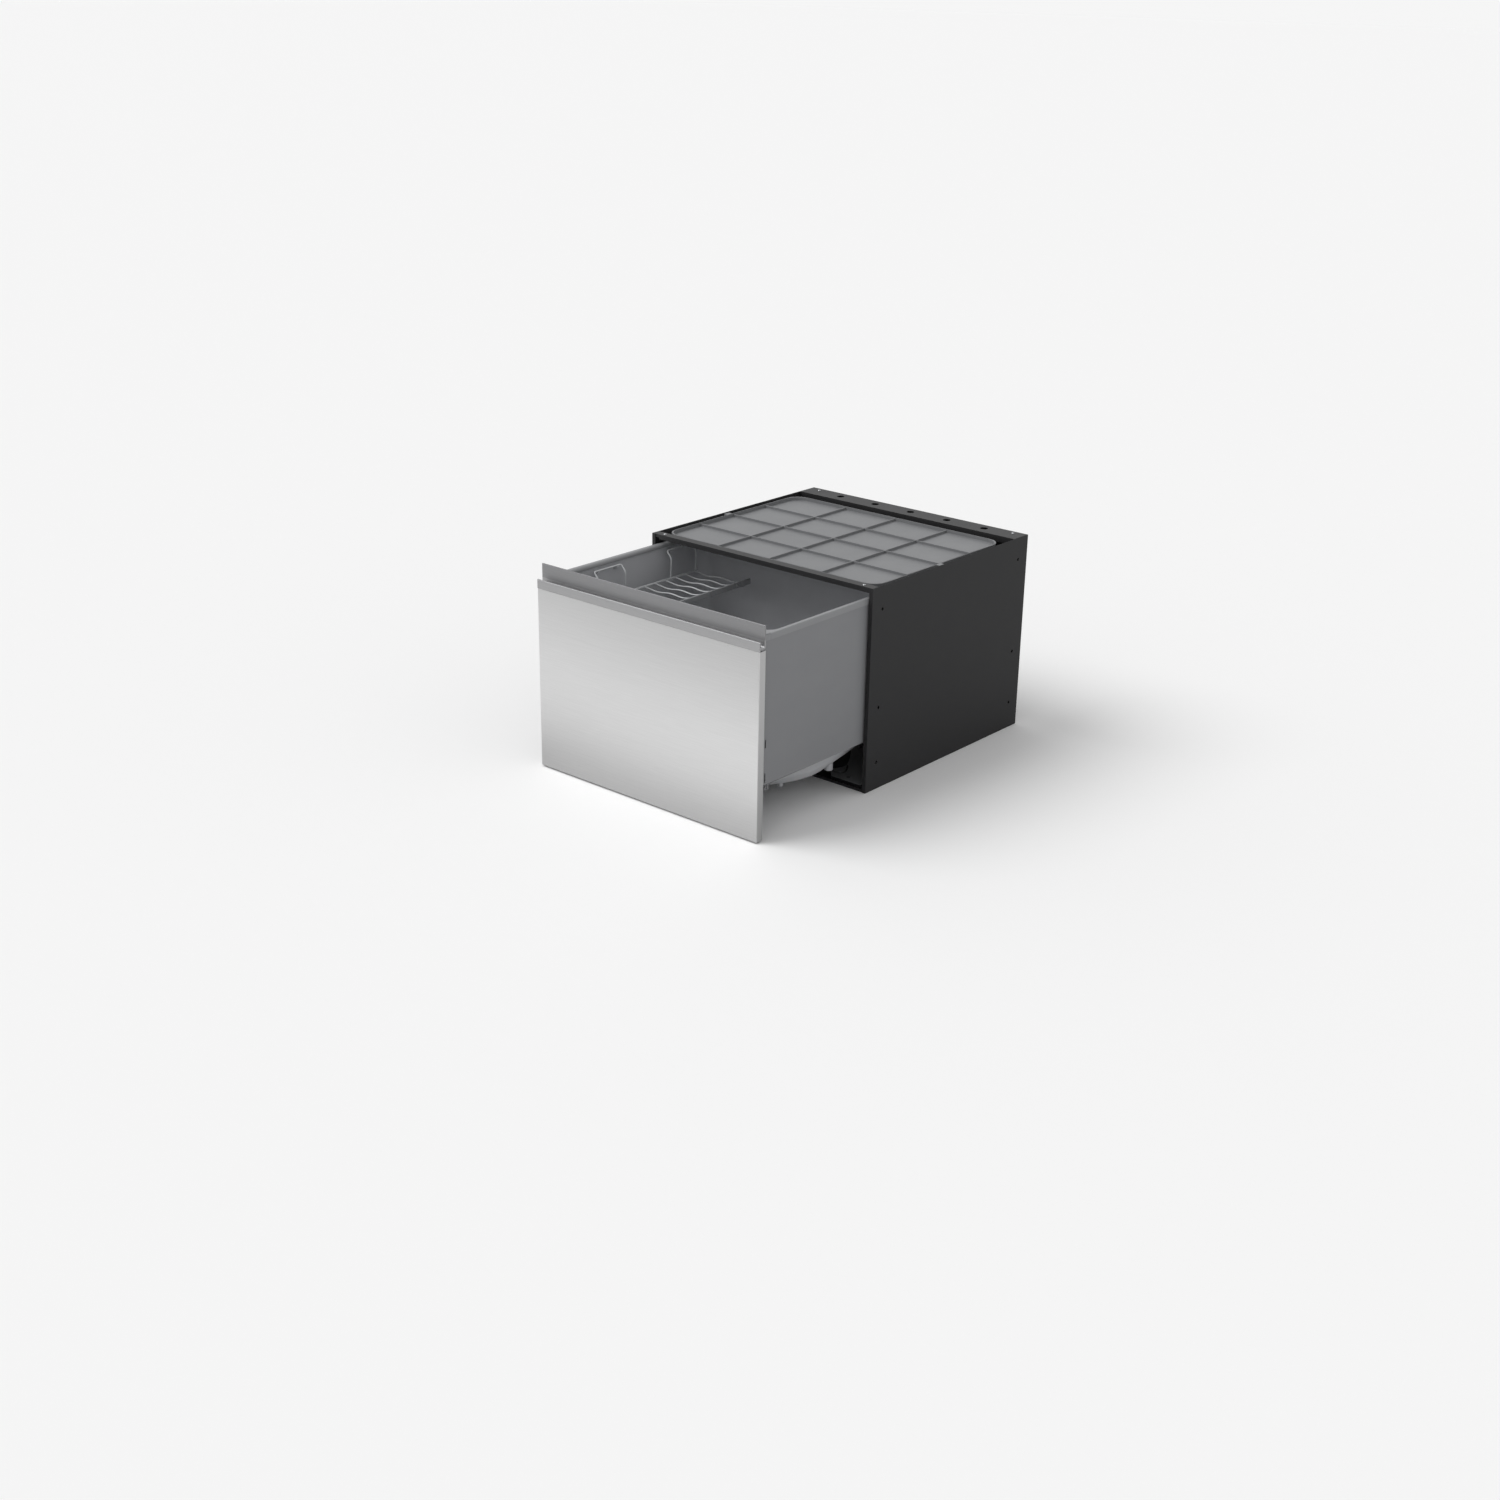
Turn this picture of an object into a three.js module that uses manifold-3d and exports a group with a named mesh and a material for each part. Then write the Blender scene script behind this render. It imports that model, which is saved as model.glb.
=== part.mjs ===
// A built-in dishwasher drawer: a tub that slides out of a steel chassis on telescopic runners, behind a
// brushed stainless front with a finger channel along its top.
//
// Millimetres, +Z up. X runs across the drawer, the front faces -Y, and the origin is the centre of the base.
// Inside the file Y = 0 is the chassis's front edge; the last group moves it to the base's centre.
// The drawer is modelled part way out, by drawerOpen.

import * as THREE from 'three';
import { mergeVertices } from 'three/addons/utils/BufferGeometryUtils.js';
import Module from 'manifold-3d';

const wasm = await Module();
wasm.setup();

// ---------------------------------------------------------------- driving dimensions

// Clearances
const seat = 0.3; // between pieces that touch or are screwed together
const running = 0.5; // between a piece and what it turns or slides in

// Chassis
const chassisWidth = 599;
const chassisDepth = 555;
const chassisHeight = 439;
const sheet = 1.2;
const sideLip = 8; // how far a side panel's front edge turns in
const baseFlange = 24; // height of the base pan's turned-up edges
const deckRise = 5; // the side decks stand this far above the pan's floor
const deckFront = 16;
const deckInset = 16; // from a side panel's inner face
const deckFrontWidth = 84.3;
const deckRearWidth = 155.3;
const deckRearGap = 60;
const braceHeight = 11;
const braceDepth = 19;
const rearBraceDepth = 52;

// Drawer front
const panelMargin = 1.5; // the front is narrower than the chassis by this on each side
const panelDepth = 17.5;
const panelBottom = 3;
const panelSheet = 1;
const panelRadius = 2;
const lipHeight = 19;
const lipThickness = 3;
const channelDepth = 13.5; // from the lip's top to the channel's floor
const channelFloor = 2.5;
const flangeRise = 2; // the flange stands this far above the chassis
const flangeThickness = 3;
const backingSheet = 1.2;
const backingMargin = 6;
const lipClearance = 2; // from what slides between the side panels' lips

// Drawer and tub
const drawerOpen = 325;
const drawerGap = 0.5; // between the closed front and the chassis
const tubInset = 20.3; // from a side panel's inner face to the tub's inner face at the rim
const tubFrontGap = 35; // from the chassis's front edge to the tub's inner face, closed
const tubRearGap = 88; // from the chassis's back to the tub's inner face, closed
const tubWall = 4;
const tubCorner = 34;
const tubDraft = 3;
const rimDrop = 22; // the rim's top is this far below the chassis's top
const rimWidth = 13.5;
const rimBand = 12.4; // height of the rim's outer band
const rimInner = 8.5; // height of the rim's inner lip
const rimSheet = 1.2;
const ledgeHeight = 158; // the tub's side walls step in here
const ledgeWidth = 17;
const bowlTop = 100;
const bowlBottom = 41;
const sumpRadius = 80;
const skinInset = 11.3; // from a side panel's inner face to a skin's outer face
const skinSheet = 1.5;
const skinBottom = 109;

// Lid
const lidThickness = 2.4;
const lidHeight = 10;
const lidTravel = 7.2;
const sealWidth = 6;
const sealHeight = 2.2;
const lugWidth = 16;

// Runners
const runnerStart = 20;
const runnerRearGap = 35;
const middleShortfall = 20; // the middle member is shorter than the others
const runnerInset = 14.1; // from a side panel's inner face to the outer member's back
const runnerHeight = 45;
const runnerSheet = 1.2;
const shelfTop = 98.5;
const shelfReach = 26;

// Wash system
const armGap = 38; // from the arm's tip to the tub's front wall as it passes
const armHeight = 12;
const armBottom = 70;
const hubRadius = 29;
const motorRadius = 60;

// Racks
const wire = 3.6;
const rackFloor = 92;
const rackGap = 12; // from the top rail to the tub's side wall
const rackEndGap = 13;
const rackWireEnd = 22; // from the rack's end to its first cross wire
const crossWires = 9;
const longWires = 6;
const tineHeight = 82;
const tineWire = 3.4;
const tineCount = 10;
const tineMargin = 41; // from the rack's end to the first tine
const cupRackDrop = 73; // from the rim's top down to the cup rack's hinge
const cupRackLength = 309;
const cupRackReach = 154;
const cupRackGap = 24; // from the tub's left wall to the cup rack's hinge

// ---------------------------------------------------------------- values worked out from them

const chassisInside = chassisWidth / 2 - sheet;
const panelWidth = chassisWidth - 2 * panelMargin;
const rimTop = chassisHeight - rimDrop;
const flangeTop = chassisHeight + flangeRise;
const panelTop = rimTop - 25.8;
const panelBack = -drawerOpen - drawerGap;
const panelFront = panelBack - panelDepth;
const tubHalfWidth = chassisInside - tubInset;
const tubFront = tubFrontGap - drawerOpen;
const tubRear = chassisDepth - tubRearGap - drawerOpen;
const tubCentre = (tubFront + tubRear) / 2;
const tubHalfDepth = (tubRear - tubFront) / 2;
const rimHalfWidth = tubHalfWidth - 3 + rimWidth;
const rimHalfDepth = tubHalfDepth - 3 + rimWidth;
const backingFront = panelBack + seat;
const backingBack = backingFront + backingSheet;
const skinHalfWidth = chassisInside - skinInset;
const runnerLength = chassisDepth - runnerStart - runnerRearGap;
const middleLength = runnerLength - middleShortfall;
const runnerOuterX = chassisInside - runnerInset;
const runnerBottom = shelfTop + seat;
const runnerCentre = runnerBottom + runnerHeight / 2;
const railOuterX = runnerOuterX - 12.5;
const railSheet = 1.3;
const ledgeInside = tubHalfWidth - tubDraft - ledgeWidth;
const armReach = tubHalfDepth - armGap;
const rackHalfWidth = tubHalfWidth - rackGap;
const rackHalfDepth = tubHalfDepth - rackEndGap;
const tinePitch = (2 * (rackHalfDepth - tineMargin)) / (tineCount - 1);
const cupRackHeight = rimTop - cupRackDrop;
const cupRackHinge = -(tubHalfWidth - cupRackGap);
const rackY0 = tubCentre - 137;
const rackY1 = rackY0 + cupRackLength;

const colours = {
  stainless: [0xc8c8c8, 0.32, 1],
  grey: [0x77787a, 0.5, 0],
  rim: [0xbbbcbe, 0.4, 0],
  black: [0x1b1b1c, 0.6, 0],
  zinc: [0xa9acae, 0.4, 0.9],
  wire: [0xb9bbbd, 0.45, 0],
  dark: [0x3a3b3d, 0.6, 0],
  rubber: [0x202021, 0.8, 0],
  white: [0xd8d9da, 0.5, 0],
};

// ---------------------------------------------------------------- solids

// A closed geometry as a solid, whichever way its faces were wound.
function solid(geometry) {
  const bare = geometry.index ? geometry.toNonIndexed() : geometry.clone();
  bare.deleteAttribute('normal');
  bare.deleteAttribute('uv');
  const merged = mergeVertices(bare, 1e-4);
  const triVerts = new Uint32Array(merged.index.array);
  const vertProperties = merged.attributes.position.array;
  if (signedVolume(vertProperties, triVerts) < 0) triVerts.reverse();
  return new wasm.Manifold(new wasm.Mesh({ numProp: 3, vertProperties, triVerts }));
}

function signedVolume(positions, triangles) {
  const [a, b, c] = [new THREE.Vector3(), new THREE.Vector3(), new THREE.Vector3()];
  let volume = 0;
  for (let i = 0; i < triangles.length; i += 3) {
    a.fromArray(positions, 3 * triangles[i]);
    b.fromArray(positions, 3 * triangles[i + 1]);
    c.fromArray(positions, 3 * triangles[i + 2]);
    volume += a.dot(b.cross(c)) / 6;
  }
  return volume;
}

function joined(...solids) {
  return solids.flat().reduce((whole, one) => whole.add(one));
}

function block(x0, x1, y0, y1, z0, z1) {
  const shape = new THREE.BoxGeometry(Math.abs(x1 - x0), Math.abs(y1 - y0), Math.abs(z1 - z0));
  return solid(shape.translate((x0 + x1) / 2, (y0 + y1) / 2, (z0 + z1) / 2));
}

function outline(points) {
  return new THREE.Shape(points.map(([x, y]) => new THREE.Vector2(x, y)));
}

function extruded(shape, length) {
  return new THREE.ExtrudeGeometry(shape, { depth: length, bevelEnabled: false, steps: 1 });
}

// A section of [y, z] points, drawn out along X.
function alongX(points, x0, x1) {
  const shape = extruded(outline(points), x1 - x0);
  return solid(shape.rotateX(Math.PI / 2).rotateZ(Math.PI / 2).translate(x0, 0, 0));
}

// A section of [x, z] points, drawn out along Y.
function alongY(points, y0, y1) {
  const shape = extruded(outline(points), y1 - y0);
  return solid(shape.rotateX(Math.PI / 2).translate(0, y1, 0));
}

// A plan of [x, y] points, drawn up along Z.
function alongZ(points, z0, z1) {
  return solid(extruded(outline(points), z1 - z0).translate(0, 0, z0));
}

// A round bar from one point to another.
function bar(from, to, radius, sides = 8) {
  const start = new THREE.Vector3(...from);
  const run = new THREE.Vector3(...to).sub(start);
  const shape = new THREE.CylinderGeometry(radius, radius, run.length(), sides);
  const turn = new THREE.Quaternion().setFromUnitVectors(
    new THREE.Vector3(0, 1, 0),
    run.clone().normalize(),
  );
  shape.applyQuaternion(turn);
  const middle = start.addScaledVector(run, 0.5);
  return solid(shape.translate(middle.x, middle.y, middle.z));
}

// A profile of [radius, z] points, turned about the upright line through (x, y).
function turned(points, x, y, sides = 24) {
  const profile = points.map(([r, z]) => new THREE.Vector2(r, z));
  profile.push(profile[0].clone());
  return solid(new THREE.LatheGeometry(profile, sides).rotateX(Math.PI / 2).translate(x, y, 0));
}

// Rings with the same number of points, joined one to the next and the last to the first.
function hoop(rings) {
  const count = rings[0].length;
  const positions = rings.flat(2);
  const index = [];
  rings.forEach((_, i) => {
    const next = (i + 1) % rings.length;
    for (let j = 0; j < count; j++) {
      const k = (j + 1) % count;
      const [a, b, c, d] = [i * count + j, next * count + j, next * count + k, i * count + k];
      index.push(a, b, c, a, c, d);
    }
  });
  const shape = new THREE.BufferGeometry();
  shape.setAttribute('position', new THREE.Float32BufferAttribute(positions, 3));
  shape.setIndex(index);
  return solid(shape);
}

const wireSides = 4;

// A wire along corners that are rounded off to the given bend, with flat ends.
function bentWire(corners, diameter, bend = 6, sides = wireSides, bendSteps = 1) {
  return sweptWire(roundedPath(corners.map((p) => new THREE.Vector3(...p)), bend, bendSteps), diameter, sides);
}

function sweptWire(path, diameter, sides = wireSides) {
  const rings = [];
  let normal = null;
  path.forEach((point, i) => {
    const before = path[Math.max(i - 1, 0)];
    const after = path[Math.min(i + 1, path.length - 1)];
    const along = after.clone().sub(before).normalize();
    if (!normal) {
      const pick = Math.abs(along.y) < 0.9 ? new THREE.Vector3(0, 1, 0) : new THREE.Vector3(1, 0, 0);
      normal = pick.cross(along).normalize();
    }
    normal.addScaledVector(along, -normal.dot(along)).normalize();
    const binormal = along.clone().cross(normal);
    rings.push(
      Array.from({ length: sides }, (_, k) => {
        const angle = (2 * Math.PI * k) / sides;
        return point
          .clone()
          .addScaledVector(normal, (diameter / 2) * Math.cos(angle))
          .addScaledVector(binormal, (diameter / 2) * Math.sin(angle));
      }),
    );
  });
  return solid(sweptGeometry(rings));
}

function roundedPath(corners, bend, bendSteps) {
  const path = [corners[0]];
  for (let i = 1; i < corners.length - 1; i++) {
    const back = corners[i - 1].clone().sub(corners[i]);
    const ahead = corners[i + 1].clone().sub(corners[i]);
    const reach = Math.min(bend, back.length() * 0.45, ahead.length() * 0.45);
    const start = corners[i].clone().addScaledVector(back.normalize(), reach);
    const end = corners[i].clone().addScaledVector(ahead.normalize(), reach);
    path.push(...new THREE.QuadraticBezierCurve3(start, corners[i], end).getPoints(bendSteps));
  }
  path.push(corners.at(-1));
  return path;
}

function sweptGeometry(rings) {
  const sides = rings[0].length;
  const positions = rings.flat().flatMap((p) => [p.x, p.y, p.z]);
  const index = [];
  for (let i = 0; i < rings.length - 1; i++) {
    for (let k = 0; k < sides; k++) {
      const [a, b] = [i * sides + k, i * sides + ((k + 1) % sides)];
      index.push(a, b, b + sides, a, b + sides, a + sides);
    }
  }
  const last = (rings.length - 1) * sides;
  for (let k = 1; k < sides - 1; k++) {
    index.push(0, k + 1, k, last, last + k, last + k + 1);
  }
  const shape = new THREE.BufferGeometry();
  shape.setAttribute('position', new THREE.Float32BufferAttribute(positions, 3));
  shape.setIndex(index);
  return shape;
}

// ---------------------------------------------------------------- the scene graph

const appliance = new THREE.Group();

function part(name, made, [color, roughness, metalness]) {
  const mesh = made.getMesh();
  const geometry = new THREE.BufferGeometry();
  geometry.setAttribute('position', new THREE.BufferAttribute(mesh.vertProperties, 3));
  geometry.setIndex(new THREE.BufferAttribute(mesh.triVerts, 1));
  geometry.computeVertexNormals();
  const material = new THREE.MeshStandardMaterial({ color, roughness, metalness });
  const node = new THREE.Mesh(geometry, material);
  node.name = name;
  appliance.add(node);
}

const sides = [
  { name: 'left', s: -1 },
  { name: 'right', s: 1 },
];

// ---------------------------------------------------------------- chassis

const beadRoot = 9; // half a pressed bead's width where it leaves the sheet
const beadCrown = 6;
const beadSunk = 0.4; // the beads start this far inside the sheet

// A pressed bead's section, as [across, height] points.
function bead(centre, root, crown) {
  return [
    [centre - beadRoot, root],
    [centre + beadRoot, root],
    [centre + beadCrown, crown],
    [centre - beadCrown, crown],
  ];
}

const sideBeadDrops = [234, 174, 114];
const sideBeadDepth = 2.2;
const sideBeadEnd = 60;
const fixingInset = 34; // from the front and rear edges to the holes for the cabinet screws
const fixingHeights = [60, 180, chassisHeight - 49];
const fixingRadius = 3.5;

// A plan section: the panel's sheet with its front lip turned in and a narrow rear return.
function sidePanel(s) {
  const outside = s * (chassisWidth / 2);
  const inside = s * chassisInside;
  const lip = s * (chassisInside - sideLip);
  const plan = [
    [lip, 0],
    [outside, 0],
    [outside, chassisDepth],
    [inside, chassisDepth],
    [inside, sheet],
    [lip, sheet],
  ];
  let panel = alongZ(plan, 0, chassisHeight);
  for (const drop of sideBeadDrops) {
    const section = bead(chassisHeight - drop, inside + s * beadSunk, inside - s * sideBeadDepth);
    const turnedUp = section.map(([z, x]) => [x, z]);
    panel = panel.add(alongY(turnedUp, sideBeadEnd, chassisDepth - sideBeadEnd));
  }
  for (const y of [fixingInset, chassisDepth - fixingInset]) {
    for (const z of fixingHeights) {
      panel = panel.subtract(bar([inside - s * 3, y, z], [inside + s * 6, y, z], fixingRadius, 8));
    }
  }
  return panel;
}

const deckOuter = chassisInside - deckInset;

// One raised side deck of the base pan, in plan: square outside, an S-shaped inner edge.
function deckPlan(s, inset) {
  const outer = deckOuter - inset;
  const narrow = deckOuter - deckFrontWidth + inset;
  const wide = deckOuter - deckRearWidth + inset;
  const rear = chassisDepth - deckRearGap - inset;
  const edge = new THREE.CubicBezierCurve(
    new THREE.Vector2(narrow, deckFront + inset),
    new THREE.Vector2(narrow - 48, deckFront + 40),
    new THREE.Vector2(narrow - 2, deckFront + 120),
    new THREE.Vector2(wide, deckFront + 161),
  );
  const points = edge.getPoints(9).map((p) => [s * p.x, p.y]);
  points.push([s * wide, rear], [s * outer, rear], [s * outer, deckFront + inset]);
  return points;
}

const deckHoles = [
  { in: 59.3, y: 43, r: 4.5 },
  { in: 32.3, y: 250, r: 6 },
  { in: 32.3, y: chassisDepth - 125, r: 6 },
  { in: 122.3, y: 330, r: 9 },
];

const panRibRise = 2.4;
const panRibReach = 100;

function basePan() {
  const half = chassisInside - seat;
  const back = chassisDepth - sheet - seat;
  const section = [
    [-half, 0],
    [half, 0],
    [half, baseFlange],
    [half - sheet, baseFlange],
    [half - sheet, sheet],
    [-half + sheet, sheet],
    [-half + sheet, baseFlange],
    [-half, baseFlange],
  ];
  let pan = alongY(section, sheet + seat, back);
  pan = pan.add(block(-half, half, back - sheet, back, 0, baseFlange));
  pan = pan.add(block(-half, half, sheet + seat, sheet + seat + sheet, 0, 6));
  for (const { s } of sides) {
    pan = pan.add(alongZ(deckPlan(s, 0), 0.1, sheet + deckRise));
    pan = pan.subtract(alongZ(deckPlan(s, sheet), -1, deckRise));
    for (const { in: inward, y, r } of deckHoles) {
      const x = s * (deckOuter - inward);
      pan = pan.subtract(bar([x, y, -2], [x, y, 12], r, 10));
    }
  }
  for (const y of [90, chassisDepth - 95]) {
    pan = pan.add(alongX(bead(y, sheet - beadSunk, sheet + panRibRise), -panRibReach, panRibReach));
  }
  return pan;
}

const hoseHole = { x: -210, z: 60, r: 21 };
const inletHole = { x: 60, z: 42, r: 15 };
const cableHole = { x: 200, z: 40, r: 10 };
const rearBeadDepth = 2;
const flangeHoles = [-200, -100, 0, 100, 200];
const flangeHoleRadius = 9;
const flangeLip = 14; // how far the rear flange's front edge hangs down

// The back sheet, folded forward along its top to brace the box.
function rearPanel() {
  const half = chassisInside - seat;
  const front = chassisDepth - sheet;
  const section = [
    [-half, 1],
    [half, 1],
    [half, chassisHeight],
    [-half, chassisHeight],
  ];
  let panel = alongY(section, front, chassisDepth);
  for (const { x, z, r } of [hoseHole, inletHole, cableHole]) {
    panel = panel.subtract(bar([x, front - 5, z], [x, chassisDepth + 5, z], r, 16));
  }
  for (const x of [-150, 0, 150]) {
    panel = panel.add(alongZ(bead(x, front + beadSunk, front - rearBeadDepth), 130, chassisHeight - 90));
  }
  return panel.add(rearFlange(half));
}

function frontBrace() {
  const half = chassisInside - seat;
  const y0 = sheet + seat;
  const bottom = chassisHeight - braceHeight;
  const section = [
    [y0, bottom],
    [y0 + 7, bottom],
    [y0 + 7, bottom + sheet],
    [y0 + sheet, bottom + sheet],
    [y0 + sheet, chassisHeight - sheet],
    [y0 + braceDepth, chassisHeight - sheet],
    [y0 + braceDepth, chassisHeight],
    [y0, chassisHeight],
  ];
  const notch = block(-half + 8, -half + 18, y0 - 1, y0 + 9, bottom - 1, bottom + 4);
  return alongX(section, -half, half).subtract(notch);
}

function rearFlange(half) {
  const front = chassisDepth - rearBraceDepth;
  const section = [
    [front, chassisHeight - flangeLip],
    [front + sheet, chassisHeight - flangeLip],
    [front + sheet, chassisHeight - sheet],
    [chassisDepth, chassisHeight - sheet],
    [chassisDepth, chassisHeight],
    [front, chassisHeight],
  ];
  let flange = alongX(section, -half, half);
  const y = front + rearBraceDepth / 2 + 2;
  for (const x of flangeHoles) {
    flange = flange.subtract(bar([x, y, chassisHeight - 9], [x, y, chassisHeight + 3], flangeHoleRadius, 10));
  }
  return flange;
}

function runnerShelf(s) {
  const outside = chassisInside - seat;
  const inner = outside - shelfReach;
  const section = [
    [outside, 62],
    [outside, shelfTop],
    [inner, shelfTop],
    [inner, shelfTop - 7],
    [inner + sheet, shelfTop - 7],
    [inner + sheet, shelfTop - sheet],
    [outside - sheet, shelfTop - sheet],
    [outside - sheet, 62],
  ].map(([x, z]) => [s * x, z]);
  return alongY(section, 10, chassisDepth - 12);
}

const actuator = { y0: 180, y1: 300, z0: chassisHeight - 94, z1: chassisHeight - 18 };
const lugCentre = (actuator.y0 + actuator.y1) / 2;
const plungerThickness = 4.8;
const plungerWidth = 8;
const plungerX = chassisInside - 4.2;

function lidActuator(s) {
  const outer = chassisInside - seat;
  const inner = outer - 7.8;
  const { y0, y1, z0, z1 } = actuator;
  const cheek = [
    [y0, z0 + 14],
    [y0 + 14, z0],
    [y1 - 14, z0],
    [y1, z0 + 14],
    [y1, z1 - 22],
    [lugCentre + 22, z1],
    [lugCentre - 22, z1],
    [y0, z1 - 22],
  ];
  const body = alongX(cheek, Math.min(s * inner, s * outer), Math.max(s * inner, s * outer));
  const bore = block(
    s * (plungerX - plungerThickness / 2 - running),
    s * (plungerX + plungerThickness / 2 + running),
    lugCentre - plungerWidth / 2 - running,
    lugCentre + plungerWidth / 2 + running,
    z0 + 20,
    z1 + 5,
  );
  return body.subtract(bore);
}

// A valve body on the pan's floor, with its spigot out through the rear panel.
function inletValve() {
  const { x, z, r } = inletHole;
  const back = chassisDepth - sheet - seat - sheet - seat;
  const body = block(x - 19, x + 19, back - 40, back, sheet + seat, z + 16);
  const coil = bar([x, back - 20, z + 14], [x, back - 20, z + 44], 13, 16);
  const spigot = bar([x, back - 4, z], [x, chassisDepth + 12, z], r - 2, 16);
  const bore = bar([x, chassisDepth - 6, z], [x, chassisDepth + 20, z], r - 5, 16);
  return joined(body, coil, spigot).subtract(bore);
}

// A drain elbow: a foot on the pan's floor and a hose spigot out through the rear panel.
function drainConnector() {
  const { x, z, r } = hoseHole;
  const back = chassisDepth - sheet - seat - sheet - seat;
  const foot = block(x - 15, x + 15, back - 34, back - 6, sheet + seat, z);
  const out = bar([x, back - 36, z], [x, chassisDepth + 16, z], r - 3, 12);
  const barb = bar([x, chassisDepth + 9, z], [x, chassisDepth + 13, z], r - 1.4, 12);
  const bore = bar([x, back - 20, z], [x, chassisDepth + 30, z], r - 6, 12);
  const rise = bar([x, back - 20, z - 4], [x, back - 20, z + 40], r - 6, 12);
  const riseBore = bar([x, back - 20, z], [x, back - 20, z + 50], r - 9, 12);
  return joined(foot, out, barb, rise).subtract(bore).subtract(riseBore);
}

function terminalBox() {
  const { x, z, r } = cableHole;
  const back = chassisDepth - sheet - seat - sheet - seat;
  const body = block(x - 42, x + 32, back - 34, back, sheet + seat, z + 30);
  const gland = bar([x, back - 4, z], [x, chassisDepth + 7, z], r - 1, 12);
  return joined(body, gland);
}

// ---------------------------------------------------------------- lid

const closedCentre = tubCentre + drawerOpen;
const lidHalfWidth = rimHalfWidth - 2;
const lidHalfDepth = rimHalfDepth - 3;
const lidBottom = rimTop + seat + lidTravel + sealHeight + seat;
const lidTop = lidBottom + lidHeight;

// Points round a rectangle with round corners, all rings having the same count.
const cornerSteps = 4;
const edgeSteps = 3;
function roundedRing(halfWidth, halfDepth, radius, z, centre, roundness = 0) {
  const ring = [];
  const corners = [
    [1, 1, 0],
    [-1, 1, 90],
    [-1, -1, 180],
    [1, -1, 270],
  ];
  const arc = (quarter) => {
    const [sx, sy, from] = corners[quarter % 4];
    return Array.from({ length: cornerSteps + 1 }, (_, j) => {
      const angle = THREE.MathUtils.degToRad(from + (90 * j) / cornerSteps);
      const x = sx * (halfWidth - radius) + radius * Math.cos(angle);
      const y = sy * (halfDepth - radius) + radius * Math.sin(angle);
      return [x, y];
    });
  };
  for (let quarter = 0; quarter < 4; quarter++) {
    const here = arc(quarter);
    const [x0, y0] = here.at(-1);
    const [x1, y1] = arc(quarter + 1)[0];
    ring.push(...here);
    for (let j = 1; j < edgeSteps; j++) {
      const t = j / edgeSteps;
      ring.push([x0 + (x1 - x0) * t, y0 + (y1 - y0) * t]);
    }
  }
  return ring.map(([x, y]) => {
    const angle = Math.atan2(y / halfDepth, x / halfWidth);
    const oval = [halfWidth * Math.cos(angle), halfDepth * Math.sin(angle)];
    const px = x + (oval[0] - x) * roundness;
    const py = y + (oval[1] - y) * roundness;
    return [px, py + centre, z];
  });
}

function lid() {
  const ring = (inset, z) =>
    roundedRing(lidHalfWidth - inset, lidHalfDepth - inset, tubCorner, z, closedCentre);
  const plan = (inset) => ring(inset, 0).map(([x, y]) => [x, y]);
  let cover = alongZ(plan(0), lidBottom, lidTop);
  cover = cover.subtract(alongZ(plan(lidThickness), lidBottom + lidThickness, lidTop + 1));
  const reachX = lidHalfWidth - 1;
  const reachY = lidHalfDepth - 1;
  for (const x of [-140, 0, 140]) {
    cover = cover.add(
      block(x - 1.1, x + 1.1, closedCentre - reachY, closedCentre + reachY, lidBottom + 1, lidTop - 2),
    );
  }
  for (const dy of [-110, 0, 110]) {
    const y = closedCentre + dy;
    cover = cover.add(block(-reachX, reachX, y - 1.1, y + 1.1, lidBottom + 1, lidTop - 2));
  }
  for (const { s } of sides) {
    const tip = plungerX + plungerThickness / 2 + 0.6;
    cover = cover.add(
      block(
        s * (lidHalfWidth - 2),
        s * tip,
        lugCentre - lugWidth / 2,
        lugCentre + lugWidth / 2,
        lidTop - 7,
        lidTop,
      ),
    );
  }
  return cover;
}

function lidSeal() {
  const middle = rimHalfWidth - rimWidth / 2;
  const depth = rimHalfDepth - rimWidth / 2;
  const top = lidBottom - seat;
  const bottom = top - sealHeight;
  const ring = (offset, z) => roundedRing(middle + offset, depth + offset, tubCorner, z, closedCentre);
  const half = sealWidth / 2;
  return hoop([ring(half, top), ring(half * 0.6, bottom), ring(-half * 0.6, bottom), ring(-half, top)]);
}

function lidPlunger(s) {
  const top = lidTop - 7 - seat;
  const thick = plungerThickness / 2;
  return block(
    s * (plungerX - thick),
    s * (plungerX + thick),
    lugCentre - plungerWidth / 2,
    lugCentre + plungerWidth / 2,
    actuator.z0 + 20 + lidTravel + 6,
    top,
  );
}

// ---------------------------------------------------------------- runners

// Sections are drawn in [u, v]: u from the outer member's back towards the tub, v from mid-height.
function runnerMember(section, s, y0, y1) {
  const points = section.map(([u, v]) => [s * (runnerOuterX - u), runnerCentre + v]);
  return alongY(points, y0, y1);
}

function runnerOuter(s) {
  const half = runnerHeight / 2;
  const t = runnerSheet;
  const upper = [
    [t, half - t],
    [10 - t, half - t],
    [10 - t, half - 3.4],
    [10, half - 3.4],
    [10, half],
    [0, half],
  ];
  const lower = upper.map(([u, v]) => [u, -v]).reverse();
  return runnerMember([...upper, ...lower], s, runnerStart, runnerStart + runnerLength);
}

function runnerMiddle(s) {
  const top = runnerHeight / 2 - runnerSheet - seat;
  const race = 4;
  const upper = [
    [5, top - race],
    [2, top - race],
    [2, top - 1.2],
    [3.2, top],
    [7.4, top],
    [8.4, top - 1.2],
    [8.4, top - race],
    [6.2, top - race],
  ];
  const lower = upper.map(([u, v]) => [u, -v]).reverse();
  const start = runnerStart + (runnerLength - middleLength) / 2 - drawerOpen / 2;
  return runnerMember([...upper, ...lower], s, start, start + middleLength);
}

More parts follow.
